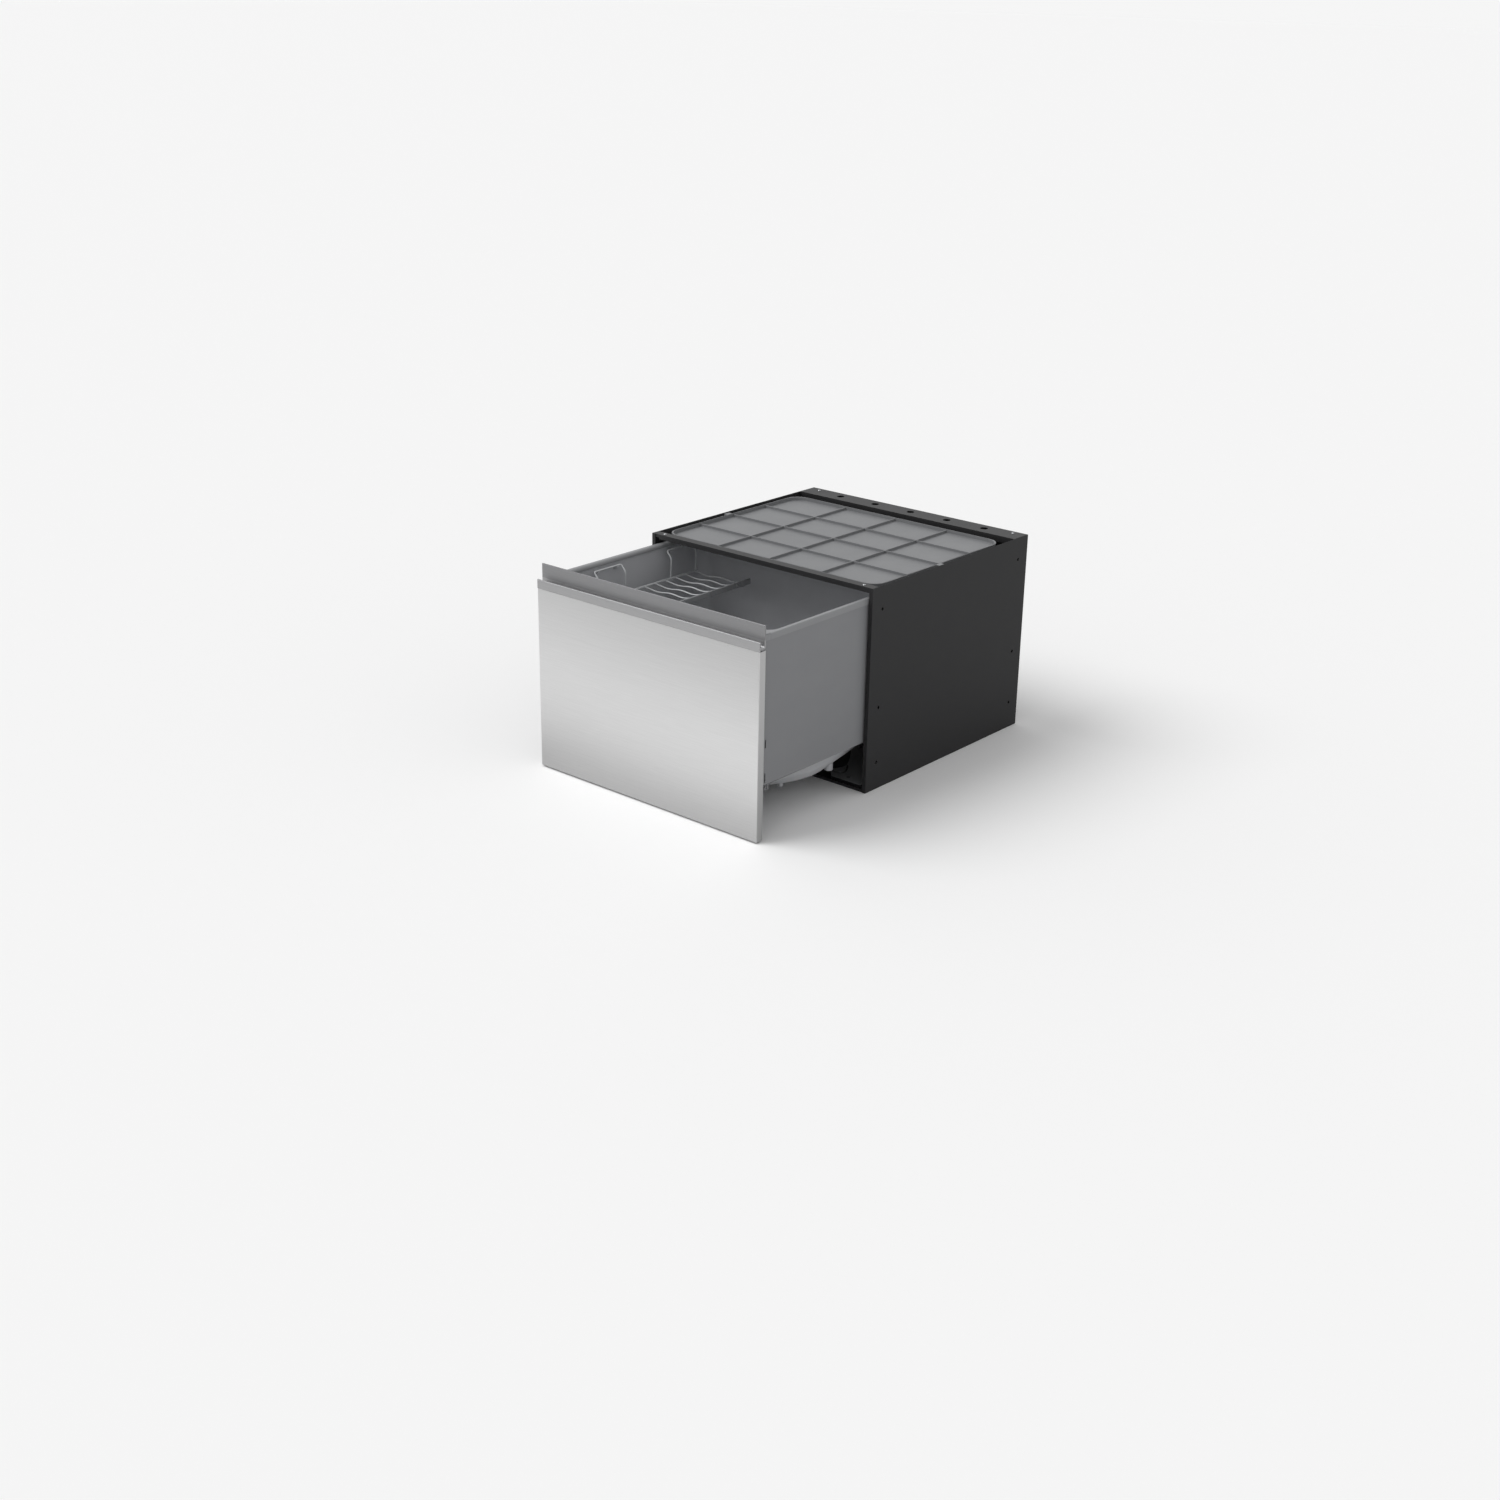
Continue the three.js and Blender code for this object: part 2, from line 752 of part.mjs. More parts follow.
function runnerInner(s) {
  const half = runnerHeight / 2 - runnerSheet - seat - 4 - seat;
  const t = runnerSheet;
  const upper = [
    [12.2, half],
    [6.8, half],
    [6.8, half - t],
    [12.2 - t, half - t],
  ];
  const lower = upper.map(([u, v]) => [u, -v]).reverse();
  const start = runnerStart - drawerOpen;
  return runnerMember([...upper, ...lower], s, start, start + runnerLength);
}

// The rail that carries the tub on the inner runner, and the panel on its front flange.
function supportRail(s) {
  const [outer, inner] = [railOuterX, railOuterX - railSheet];
  const front = backingBack + seat;
  const plate = block(s * inner, s * outer, front, tubRear + 6, runnerCentre - 17, runnerCentre + 17);
  const footOuter = skinHalfWidth - skinSheet - 1;
  const foot = block(s * (skinHalfWidth - 37), s * footOuter, front, front + 1.5, 50, 215);
  const gusset = [
    [backingBack + seat, 60],
    [backingBack + seat + 14, 100],
    [backingBack + seat + 14, 160],
    [backingBack + seat, 205],
  ];
  const web = alongX(gusset, Math.min(s * inner, s * outer), Math.max(s * inner, s * outer));
  return joined(plate, foot, web);
}

// ---------------------------------------------------------------- tub

// Rings of the tub's outer or inner surface, top to bottom; grow is the wall on the outside, 0 inside.
function tubRings(grow) {
  const w = tubHalfWidth + grow;
  const d = tubHalfDepth + grow;
  const c = tubCorner + grow;
  const drop = grow; // the floor is as thick as the wall
  const ring = (halfWidth, halfDepth, corner, z, roundness = 0) =>
    roundedRing(halfWidth, halfDepth, corner, z, tubCentre, roundness);
  const low = ledgeInside + grow;
  const top = rimTop - rimSheet - seat;
  return [
    ring(w, d, c, top),
    ring(w - tubDraft, d - tubDraft, c, ledgeHeight - drop),
    ring(low, d - tubDraft, c, ledgeHeight - drop),
    ring(low - 2, d - tubDraft - 1, c, bowlTop - drop),
    ring(low - 7, d - 9, c + 4, bowlTop - 22 - drop, 0.08),
    ring(low - 20, d - 26, c + 18, bowlTop - 40 - drop, 0.35),
    ring(low - 58, d - 66, c + 40, bowlBottom + 11 - drop + tubWall, 0.7),
    ring(low - 108, d - 98, 90, bowlBottom + 3 - drop + tubWall, 0.9),
    ring(sumpRadius, sumpRadius, sumpRadius - 1, bowlBottom + tubWall - drop, 1),
  ];
}

const spigots = [
  { x: ledgeInside - 27, y: tubCentre + 37, r: 9 },
  { x: ledgeInside - 44, y: tubCentre - 97, r: 5 },
];

function tub() {
  let shell = hoop([...tubRings(tubWall), ...tubRings(0).reverse()]);
  const bossOut = railOuterX - railSheet - seat;
  for (const { s } of sides) {
    for (const y of [tubFront + 50, tubCentre, tubRear - 50]) {
      shell = shell.add(
        block(s * (ledgeInside + 1), s * bossOut, y - 16, y + 16, runnerCentre - 12, runnerCentre + 12),
      );
    }
  }
  for (const { x, y, r } of spigots) {
    shell = shell.add(bar([x, y, bowlBottom + 5], [x, y, bowlBottom + 16.5], r, 16));
  }
  for (const y of hangerLegs.flat()) {
    shell = shell.add(hangerHook(y));
  }
  return shell;
}

const hangerSpans = [
  [tubCentre - 134, tubCentre - 53],
  [rackY1 - 83, rackY1 - 3],
];
const hangerLegs = hangerSpans.map(([a, b]) => [a + 12, b - 12]);
const hangerTop = rimTop - 15.3;
const hangerX = -(tubHalfWidth - 8);

// A moulded shelf on the tub's left wall that a hanger's top bar lies on.
function hangerHook(y) {
  const wallX = -(tubHalfWidth + 1);
  const top = hangerTop - wire / 2 - seat;
  const section = [
    [wallX, top],
    [hangerX + 3, top],
    [hangerX + 3, top - 3],
    [wallX, top - 12],
  ];
  return alongY(section, y - 5, y + 5);
}

const rimCorner = 8; // outside; the inner edge follows the tub's corner

function rimFrame() {
  const corner = (inset) => rimCorner + ((tubCorner - rimCorner) * inset) / rimWidth;
  const ring = (inset, z) =>
    roundedRing(rimHalfWidth - inset, rimHalfDepth - inset, corner(inset), z, tubCentre);
  return hoop([
    ring(0, rimTop - rimBand),
    ring(0, rimTop - 1),
    ring(1, rimTop),
    ring(rimWidth - 1.5, rimTop),
    ring(rimWidth, rimTop - 1.5),
    ring(rimWidth, rimTop - rimInner),
    ring(rimWidth - rimSheet, rimTop - rimInner),
    ring(rimWidth - rimSheet, rimTop - rimSheet),
    ring(rimSheet, rimTop - rimSheet),
    ring(rimSheet, rimTop - rimBand),
  ]);
}

const skinFront = backingBack + seat;
const skinTop = rimTop - rimBand - seat;

function sideSkin(s) {
  const outer = skinHalfWidth;
  const inner = outer - skinSheet;
  const section = [
    [outer, skinBottom],
    [outer, skinTop],
    [tubHalfWidth + tubWall + seat, skinTop],
    [tubHalfWidth + tubWall + seat, skinTop - skinSheet],
    [inner, skinTop - skinSheet],
    [inner, skinBottom],
  ].map(([x, z]) => [s * x, z]);
  let skin = alongY(section, skinFront, tubRear + 10);
  const slotY = skinFront + 14;
  for (const [z0, z1] of [[187, 204], [114, 135]]) {
    skin = skin.subtract(block(s * (inner - 1), s * (outer + 1), slotY, slotY + 3.2, z0, z1));
  }
  for (const y of [skinFront + 15, skinFront + 23]) {
    const tip = shelfTop + running;
    const prong = [
      [y, skinBottom + 1],
      [y, tip],
      [y + 4, tip],
      [y + 4.6, skinBottom + 1],
    ];
    skin = skin.add(alongX(prong, Math.min(s * inner, s * outer), Math.max(s * inner, s * outer)));
  }
  return skin;
}

// ---------------------------------------------------------------- drawer front

function frontPanel() {
  const half = panelWidth / 2;
  const shape = new THREE.Shape();
  shape.moveTo(half, panelBack);
  shape.lineTo(half, panelFront + panelRadius);
  shape.absarc(half - panelRadius, panelFront + panelRadius, panelRadius, 0, -Math.PI / 2, true);
  shape.lineTo(-half + panelRadius, panelFront);
  shape.absarc(-half + panelRadius, panelFront + panelRadius, panelRadius, -Math.PI / 2, -Math.PI, true);
  shape.lineTo(-half, panelBack);
  const outer = new THREE.ExtrudeGeometry(shape, {
    depth: panelTop - panelBottom,
    bevelEnabled: false,
    curveSegments: 5,
  });
  const hollow = block(
    -half + panelSheet,
    half - panelSheet,
    panelFront + panelSheet,
    panelBack + 1,
    panelBottom + panelSheet,
    panelTop - panelSheet,
  );
  return solid(outer.translate(0, 0, panelBottom)).subtract(hollow);
}

function arcPoints(y, z, radius, from, to, steps = 4) {
  return Array.from({ length: steps + 1 }, (_, i) => {
    const angle = THREE.MathUtils.degToRad(from + ((to - from) * i) / steps);
    return [y + radius * Math.cos(angle), z + radius * Math.sin(angle)];
  });
}

// One extrusion: the front lip, the finger channel's floor and the tall rear flange.
function handleChannel() {
  const bottom = panelTop + seat;
  const lipTop = bottom + lipHeight;
  const floorTop = lipTop - channelDepth;
  const floorBottom = floorTop - channelFloor;
  const lipBack = panelFront + lipThickness;
  const flangeFront = panelBack - flangeThickness;
  const section = [
    [panelFront, bottom],
    [panelFront, lipTop - 0.8],
    [panelFront + 0.8, lipTop],
    [lipBack - 0.4, lipTop],
    [lipBack, lipTop - 0.4],
    ...arcPoints(lipBack + 2, floorTop + 2, 2, 180, 270, 3),
    ...arcPoints(flangeFront - 4.5, floorTop + 4.5, 4.5, 270, 360, 5),
    [flangeFront, flangeTop - 0.4],
    [flangeFront + 0.4, flangeTop],
    [panelBack - 0.4, flangeTop],
    [panelBack, flangeTop - 0.4],
    ...arcPoints(panelBack - 5, floorBottom + 5, 5, 0, -90, 4),
    [lipBack, floorBottom],
    [lipBack, bottom],
  ];
  return alongX(section, -panelWidth / 2, panelWidth / 2);
}

const backingBeads = [-210, -70, 70, 210];
const backingBeadDepth = 2;

function panelBacking() {
  const half = chassisInside - sideLip - lipClearance;
  const section = [
    [-half, panelBottom + backingMargin],
    [half, panelBottom + backingMargin],
    [half, rimTop - 4],
    [-half, rimTop - 4],
  ];
  let backing = alongY(section, backingFront, backingBack);
  for (const x of backingBeads) {
    backing = backing.add(alongZ(bead(x, backingBack - beadSunk, backingBack + backingBeadDepth), 60, 180));
  }
  return backing;
}

const stripFront = backingBack + seat;
const stripBack = tubCentre - rimHalfDepth - seat;
const stripTop = rimTop + 2;
const stripWall = 1.8;
const buttonNames = ['power', 'start', 'programme', 'delay', 'lock'];
const buttonPitch = 34;
const buttonWidth = 20;
const buttonDepth = 7;
const buttonY = (stripFront + stripBack) / 2;
const buttonStart = 60;
const buttonX = (i) => buttonStart + i * buttonPitch;

// A trough that caps the gap between the panel and the rim, open below and as wide as the rim.
function controlStrip() {
  const bottom = rimTop - rimBand;
  const section = [
    [stripFront, bottom],
    [stripFront, stripTop],
    [stripBack, stripTop],
    [stripBack, bottom],
    [stripBack - stripWall, bottom],
    [stripBack - stripWall, stripTop - stripWall],
    [stripFront + stripWall, stripTop - stripWall],
    [stripFront + stripWall, bottom],
  ];
  let strip = alongX(section, -rimHalfWidth, rimHalfWidth);
  buttonNames.forEach((_, i) => {
    strip = strip.subtract(buttonBlock(i, running, stripTop - 4, stripTop + 4));
  });
  return strip;
}

function buttonBlock(i, margin, z0, z1) {
  const x = buttonX(i);
  return block(
    x - buttonWidth / 2 - margin,
    x + buttonWidth / 2 + margin,
    buttonY - buttonDepth / 2 - margin,
    buttonY + buttonDepth / 2 + margin,
    z0,
    z1,
  );
}

const moduleBox = { x0: -30, x1: 230, z0: rimTop - 207, z1: rimTop - 32, depth: 16, wall: 4 };

// The board's housing behind the panel, low enough to clear the strip and its buttons.
function controlModule() {
  const { x0, x1, z0, z1, depth, wall } = moduleBox;
  const front = backingBack + seat;
  const housing = block(x0, x1, front, front + depth, z0, z1);
  const pocket = block(x0 + wall, x1 - wall, front + 3, front + depth + wall, z0 + wall, z1 - wall);
  const ribs = [10, 60, 110, 160, 200].map((x) => block(x, x + 2, front + 2, front + 13, z0 + 2, z1 - 2));
  return joined(housing.subtract(pocket), ribs);
}

function button(i) {
  const cap = buttonBlock(i, 0, stripTop - 1.8, stripTop + 1.2);
  const collar = buttonBlock(i, 1.6, stripTop - 4.6, stripTop - 1.8 - seat - 0.2);
  const neck = buttonBlock(i, -1, stripTop - 4, stripTop);
  return joined(cap, collar, neck);
}

// ---------------------------------------------------------------- wash system

const sumpTop = bowlBottom - seat;
const sumpBottom = 12;

function sumpHousing() {
  const profile = [
    [0, sumpBottom],
    [sumpRadius - 10, sumpBottom],
    [sumpRadius - 5, sumpBottom + 5],
    [sumpRadius - 4, sumpTop - 4],
    [sumpRadius + 10, sumpTop - 4],
    [sumpRadius + 10, sumpTop],
    [sumpRadius - 7, sumpTop],
    [sumpRadius - 8, sumpBottom + 6],
    [sumpRadius - 11, sumpBottom + 3],
    [0, sumpBottom + 3],
  ];
  return turned(profile, 0, tubCentre);
}

const spindleTop = armBottom + armHeight - 3;
const spindleRadius = 6;

function washMotor() {
  const base = sumpBottom + 3 + seat;
  const profile = [
    [0, base],
    [motorRadius, base],
    [motorRadius, base + 14],
    [motorRadius - 8, base + 19],
    [24, base + 19],
    [20, base + 28],
    [spindleRadius, base + 30],
    [spindleRadius, spindleTop - 1],
    [spindleRadius - 1, spindleTop],
    [0, spindleTop],
  ];
  return turned(profile, 0, tubCentre, 20);
}

function drainPump() {
  const radius = 10.5;
  const z = sumpBottom + radius + 1.5;
  const start = tubCentre + sumpRadius - 4 + seat;
  const body = bar([0, start, z], [0, start + 46, z], radius, 16);
  const cap = bar([0, start + 45, z], [0, start + 52, z], radius - 3, 16);
  const outlet = bar([0, start + 18, z], [38, start + 18, z], 6, 12);
  return joined(body, cap, outlet);
}

const filterTop = bowlBottom + tubWall + 4;
const filterSlots = 8;
const [slotStart, slotEnd] = [34, 70];
const filterWell = { y: tubCentre - 58, r: 17 }; // the drain filter's hole in the plate

function filterPlate() {
  const z0 = bowlBottom + tubWall + seat;
  const profile = [
    [hubRadius - 12, z0],
    [sumpRadius + 12, z0 + 1.3],
    [sumpRadius + 12, z0 + 2.6],
    [hubRadius - 12, filterTop],
  ];
  let plate = turned(profile, 0, tubCentre);
  const well = filterWell;
  plate = plate.subtract(bar([0, well.y, 0], [0, well.y, 90], well.r + running, 16));
  for (let i = 0; i < filterSlots; i++) {
    const angle = (2 * Math.PI * (i + 0.5)) / filterSlots;
    const [c, s] = [Math.cos(angle), Math.sin(angle)];
    if (s < -0.75) continue;
    const at = (r) => [r * c, tubCentre + r * s, 46];
    const slot = bar(at(slotStart), at(slotEnd), 2, 4);
    plate = plate.subtract(slot.translate([0, 0, 1]));
  }
  return plate;
}

// A cup-shaped basket with a grip across its mouth.
function drainFilter() {
  const [x, y] = [0, filterWell.y];
  const top = filterTop + 3;
  const bottom = sumpBottom + 3 + seat;
  const profile = [
    [0, bottom + 24],
    [13, bottom + 24],
    [filterWell.r - 1, top - 4],
    [filterWell.r - 1, top - 2.6],
    [20, top - 2.6],
    [20, top],
    [14, top],
    [11, bottom + 27],
    [0, bottom + 27],
  ];
  const cup = turned(profile, x, y, 16);
  const grip = block(x - 15, x + 15, y - 1.5, y + 1.5, bottom + 25, top + 5);
  return joined(cup, grip);
}

const armTurn = 0.5; // the arm's angle at rest, in radians
const nozzleGaps = [118, 83, 48, 18]; // from the tip
const nozzleRadius = 3.5;

// Two swept arms on a round hub, thinner at the tips, with a row of nozzles on each.
function sprayArm() {
  const z0 = armBottom;
  const z1 = armBottom + armHeight;
  const blade = new THREE.Shape();
  blade.moveTo(0, -22);
  blade.bezierCurveTo(60, -24, 120, -16, armReach - 12, -17);
  blade.absarc(armReach - 13, -4, 13, -Math.PI / 2, Math.PI / 2, false);
  blade.bezierCurveTo(110, 12, 60, 24, 0, 22);
  const geometry = new THREE.ExtrudeGeometry(blade, {
    depth: armHeight - 3,
    bevelEnabled: false,
    curveSegments: 4,
  });
  const arms = [0, Math.PI].map((angle) =>
    solid(geometry.clone().translate(0, 0, z0 + 1.5).rotateZ(angle + armTurn).translate(0, tubCentre, 0)),
  );
  const hub = turned(
    [
      [0, filterTop + 2],
      [hubRadius - 10, filterTop + 2],
      [hubRadius - 8, z0],
      [hubRadius, z0 + 3],
      [hubRadius, z1 - 2],
      [hubRadius - 4, z1 + 2],
      [0, z1 + 2],
    ],
    0,
    tubCentre,
    20,
  );
  const nozzles = [0, Math.PI].flatMap((angle) =>
    nozzleGaps.map((fromTip) => {
      const r = armReach - fromTip;
      const x = r * Math.cos(angle + armTurn);
      const y = tubCentre + r * Math.sin(angle + armTurn);
      return bar([x, y, z1 - 3], [x, y, z1 + 2], nozzleRadius, 6);
    }),
  );
  const bore = bar([0, tubCentre, 0], [0, tubCentre, spindleTop + running], spindleRadius + running, 12);
  return joined(arms, hub, nozzles).subtract(bore);
}

// ---------------------------------------------------------------- dispenser

const dispenser = { x0: 40, x1: 190, z0: rimTop - 132, z1: rimTop - 45, depth: 16 };
const doorX0 = dispenser.x0 + 10;
const doorX1 = dispenser.x0 + 92;
const doorZ0 = dispenser.z0 + 10;
const doorZ1 = dispenser.z1 - 10;

function wallAt(z) {
  const height = rimTop - rimSheet - seat;
  return tubFront + (tubDraft * (height - z)) / (height - ledgeHeight);
}

function dispenserBody() {
  const back = wallAt(dispenser.z0) + seat;
  const front = back + dispenser.depth;
  const { x0, x1, z0, z1 } = dispenser;
  const cut = 6;
  const outlineXZ = [
    [x0 + cut, z0],
    [x1 - cut, z0],
    [x1, z0 + cut],
    [x1, z1 - cut],
    [x1 - cut, z1],
    [x0 + cut, z1],
    [x0, z1 - cut],
    [x0, z0 + cut],
  ];
  const body = alongY(outlineXZ, back, front);
  const recess = block(
    doorX0 - running,
    doorX1 + running,
    front - 3.4,
    front + 1,
    doorZ0 - running,
    doorZ1 + running,
  );
  const cup = block(doorX0 + 6, doorX1 - 6, back + 2, front, doorZ0 + 5, doorZ1 - 5);
  const rinse = bar([x1 - 26, front - 2, z1 - 30], [x1 - 26, front + 3, z1 - 30], 15, 16);
  const grip = block(x1 - 38, x1 - 14, front + 2, front + 6, z1 - 31.5, z1 - 28.5);
  return joined(body.subtract(recess).subtract(cup), rinse, grip);
}

function dispenserLid() {
  const front = wallAt(dispenser.z0) + seat + dispenser.depth;
  const plate = block(doorX0, doorX1, front - 3.4 + seat, front - seat, doorZ0, doorZ1);
  const pull = block(doorX1 - 12, doorX1 - 6, front - 1, front + 3, doorZ0 + 20, doorZ1 - 20);
  return joined(plate, pull);
}

// ---------------------------------------------------------------- racks

const rackWireX = ledgeInside - 8;
const rackRail = 5;
const rackTop = ledgeHeight + seat + rackRail / 2;
const rackLean = 16; // the sides lean in by this at the floor
const rackFoot = 3; // a side upright's flat end
const rackEndLean = 14; // the ends lean in by this
const rackEndFoot = 5.5;
const rackEndLip = 3;
const rackBend = 12; // the uprights straighten at this height over the floor
const railCorner = 26;
const railEnd = rackHalfWidth - railCorner - 2; // where a side's rail meets the end rails

const foldingRows = [0.42, 0.82].map((share) => share * rackWireX);
const fixedRows = [-0.82, -0.5, -0.18].map((share) => share * rackWireX);
const rowStart = tubCentre - (tinePitch * (tineCount - 1)) / 2;
const rowY = (i) => rowStart + i * tinePitch;
const crossReach = rackHalfDepth - rackWireEnd;
const crossY = (i) => tubCentre - crossReach + (i * 2 * crossReach) / (crossWires - 1);
const longReach = rackWireX - 34;
const longX = (i) => -longReach + (i * 2 * longReach) / (longWires - 1);
const longZ = rackFloor - wire * 0.75;
const saddleYs = [crossY(1), crossY(4), crossY(7)];
const foldAxisZ = rackFloor + wire / 2 + 4.4;

// The basket's floor: cross wires under the tines, and long wires under those.
function baseRack() {
  const flat = rackWireX - rackLean - seat;
  const crosses = Array.from({ length: crossWires }, (_, i) =>
    bar([-flat, crossY(i), rackFloor], [flat, crossY(i), rackFloor], wire / 2, wireSides),
  );
  const reach = rackHalfDepth - rackEndLean - rackEndFoot - seat;
  const longs = Array.from({ length: longWires }, (_, i) =>
    bar([longX(i), tubCentre - reach, longZ], [longX(i), tubCentre + reach, longZ], wire / 2, wireSides),
  );
  const saddles = foldingRows.flatMap((x) => saddleYs.map((y) => saddle(x, y)));
  return joined(crosses, longs, saddles);
}

// One end of the basket: uprights from the long wires' ends to a straight rail.
function rackEnd(end) {
  const y = (inset) => tubCentre + end * (rackHalfDepth - inset);
  const rail = bar([-railEnd + seat, y(0), rackTop], [railEnd - seat, y(0), rackTop], rackRail / 2, wireSides);
  const uprights = Array.from({ length: longWires }, (_, i) =>
    bentWire(
      [
        [longX(i), y(rackEndLean + rackEndFoot), longZ],
        [longX(i), y(rackEndLean), longZ],
        [longX(i), y(rackEndLip), rackFloor + rackBend],
        [longX(i), y(0), rackTop],
      ],
      wire,
      4,
    ),
  );
  return joined(rail, uprights);
}

// One side of the basket: uprights from the cross wires' ends to a rail that rests on the tub's ledge.
function rackSide(s) {
  const flat = rackWireX - rackLean;
  const uprights = Array.from({ length: crossWires }, (_, i) =>
    bentWire(
      [
        [s * flat, crossY(i), rackFloor],
        [s * (flat + rackFoot), crossY(i), rackFloor],
        [s * rackWireX, crossY(i), rackFloor + rackBend + 2],
        [s * rackWireX, crossY(i), rackTop],
        [s * rackHalfWidth, crossY(i), rackTop],
      ],
      wire,
      4,
    ),
  );
  const cornerSpan = [0, 22.5, 45, 67.5, 90].map((d) => THREE.MathUtils.degToRad(d));
  const turn = (angle, end) =>
    new THREE.Vector3(
      s * (rackHalfWidth - railCorner + railCorner * Math.sin(angle)),
      tubCentre + end * (rackHalfDepth - railCorner + railCorner * Math.cos(angle)),
      rackTop,
    );
  const tip = (end) => new THREE.Vector3(s * railEnd, tubCentre + end * rackHalfDepth, rackTop);
  const front = [tip(-1), ...cornerSpan.map((a) => turn(a, -1))];
  const rear = [tip(1), ...cornerSpan.map((a) => turn(a, 1))];
  const path = [...front, ...rear.reverse()];
  return joined(sweptWire(path, rackRail), uprights);
}

// A clip on a cross wire, with a round seat for a folding row's rod.
function saddle(x, y) {
  const body = block(x - 5, x + 5, y - 4, y + 4, rackFloor - 1, foldAxisZ);
  return body.subtract(bar([x, y - 6, foldAxisZ], [x, y + 6, foldAxisZ], tineWire / 2 + seat, 8));
}

// Upright tines on a floor rod that lies on the cross wires.
function fixedTines(x) {
  const z = rackFloor + wire / 2 + seat + tineWire / 2;
  const rod = bar([x, crossY(0) - 5, z], [x, crossY(crossWires - 1) + 5, z], tineWire / 2, wireSides);
  const tines = Array.from({ length: tineCount }, (_, i) =>
    bar([x, rowY(i), z], [x, rowY(i), z + tineHeight], tineWire / 2, wireSides),
  );
  return joined(rod, tines);
}

function foldingTines(x) {
  const rod = bar([x, crossY(0) - 5, foldAxisZ], [x, crossY(crossWires - 1) + 5, foldAxisZ], tineWire / 2, 8);
  const tines = Array.from({ length: tineCount }, (_, i) =>
    bar([x, rowY(i), foldAxisZ], [x, rowY(i), foldAxisZ + tineHeight], tineWire / 2, wireSides),
  );
  return joined(rod, tines);
}

const hangerKnee = { x: hangerX + 13.5, z: hangerTop - 14.2 };
const hookTip = 2;
const hookRise = 8;

// A wire loop on the tub's left wall that carries one end of the cup rack.
function rackHanger([y0, y1]) {
  const hook = cupRackRod / 2 + seat + wire / 2;
  const leg = (y) => [
    [cupRackHinge + hookTip, y, cupRackHeight - hook],
    [cupRackHinge - hook, y, cupRackHeight - hook],
    [cupRackHinge - hook, y, cupRackHeight + hookRise],
    [hangerKnee.x, y, hangerKnee.z],
    [hangerX, y, hangerTop],
  ];
  return bentWire([...leg(y0), ...leg(y1).reverse()], wire, 6, 5);
}

const cupRackRod = 4.8;
const cupRackRail = 4.4;
const cupRackWire = 3;
const cupRackWires = 10;
const cupRackOverhang = 10; // from the hinge rod's end to the first wire
const cupRackWave = [
  [0, 0],
  [40, -5],
  [76, 1],
  [112, -3],
]; // how the wires rise and fall from the hinge on
const edgeHeight = 12;
const edgeThickness = 4;
const cupSlope = 6; // the rack's inner edge stands this much higher than its hinge
const cupRackFar = cupRackHinge + cupRackReach - edgeThickness - 4;

// The tray of the cup rack: hinge rod, outer rod and cross wires that carry the cups.
function cupRack() {
  const along = (x, z, inset, radius, sides) =>
    bar([x, rackY0 + inset, z], [x, rackY1 - inset, z], radius, sides);
  const hinge = along(cupRackHinge, cupRackHeight, 0, cupRackRod / 2, 8);
  const outer = along(cupRackFar, cupRackHeight + cupSlope, 4, cupRackRail / 2, 6);
  const wires = Array.from({ length: cupRackWires }, (_, i) => {
    const y = rackY0 + cupRackOverhang + (i * (cupRackLength - 2 * cupRackOverhang)) / (cupRackWires - 1);
    const path = cupRackWave.map(([x, z]) => new THREE.Vector3(cupRackHinge + x, y, cupRackHeight + z));
    return sweptWire([...path, new THREE.Vector3(cupRackFar, y, cupRackHeight + cupSlope)], cupRackWire);
  });
  return joined(hinge, outer, wires);
}

// The flat strip along the cup rack's inner edge, with clips at its wires.
function cupRackEdge() {
  const x0 = cupRackFar + cupRackRail / 2 + seat;
  const x1 = x0 + edgeThickness;
  const middle = cupRackHeight + cupSlope;
  const section = [
    [x0, middle - edgeHeight / 2],
    [x1 - 1, middle - edgeHeight / 2],
    [x1, middle - edgeHeight / 2 + 1],
    [x1, middle + edgeHeight / 2 - 1],
    [x1 - 1, middle + edgeHeight / 2],
    [x0, middle + edgeHeight / 2],
  ];
  let strip = alongY(section, rackY0, rackY1);
  for (const share of [0.25, 0.6, 0.92]) {
    const y = rackY0 + share * cupRackLength;
    strip = strip.add(
      block(x0 + 1, x1 + 1.2, y - 4.5, y + 4.5, middle - edgeHeight / 2 - 1, middle + edgeHeight / 2 + 1),
    );
  }
  for (const share of [0.1, 0.86]) {
    const y = rackY0 + share * cupRackLength;
    strip = strip.subtract(block(x0 - 1, x1 + 1, y - 4, y + 4, middle - 3, middle + 3));
  }
  return strip;
}

// ---------------------------------------------------------------- assembly

for (const { name, s } of sides) {
  part(`side_panel_${name}`, sidePanel(s), colours.black);
  part(`runner_shelf_${name}`, runnerShelf(s), colours.zinc);
  part(`runner_outer_${name}`, runnerOuter(s), colours.zinc);
  part(`runner_middle_${name}`, runnerMiddle(s), colours.zinc);
  part(`runner_inner_${name}`, runnerInner(s), colours.zinc);
  part(`support_rail_${name}`, supportRail(s), colours.zinc);
  part(`lid_actuator_${name}`, lidActuator(s), colours.dark);
  part(`lid_plunger_${name}`, lidPlunger(s), colours.white);
  part(`side_skin_${name}`, sideSkin(s), colours.grey);
}
part('base_pan', basePan(), colours.black);
part('rear_panel', rearPanel(), colours.black);
part('top_front_brace', frontBrace(), colours.black);
part('inlet_valve', inletValve(), colours.white);
part('drain_connector', drainConnector(), colours.dark);
part('terminal_box', terminalBox(), colours.dark);
part('lid', lid(), colours.grey);
part('lid_seal', lidSeal(), colours.rubber);
part('tub', tub(), colours.grey);
part('rim_frame', rimFrame(), colours.rim);
part('front_panel', frontPanel(), colours.stainless);
part('handle_channel', handleChannel(), colours.stainless);
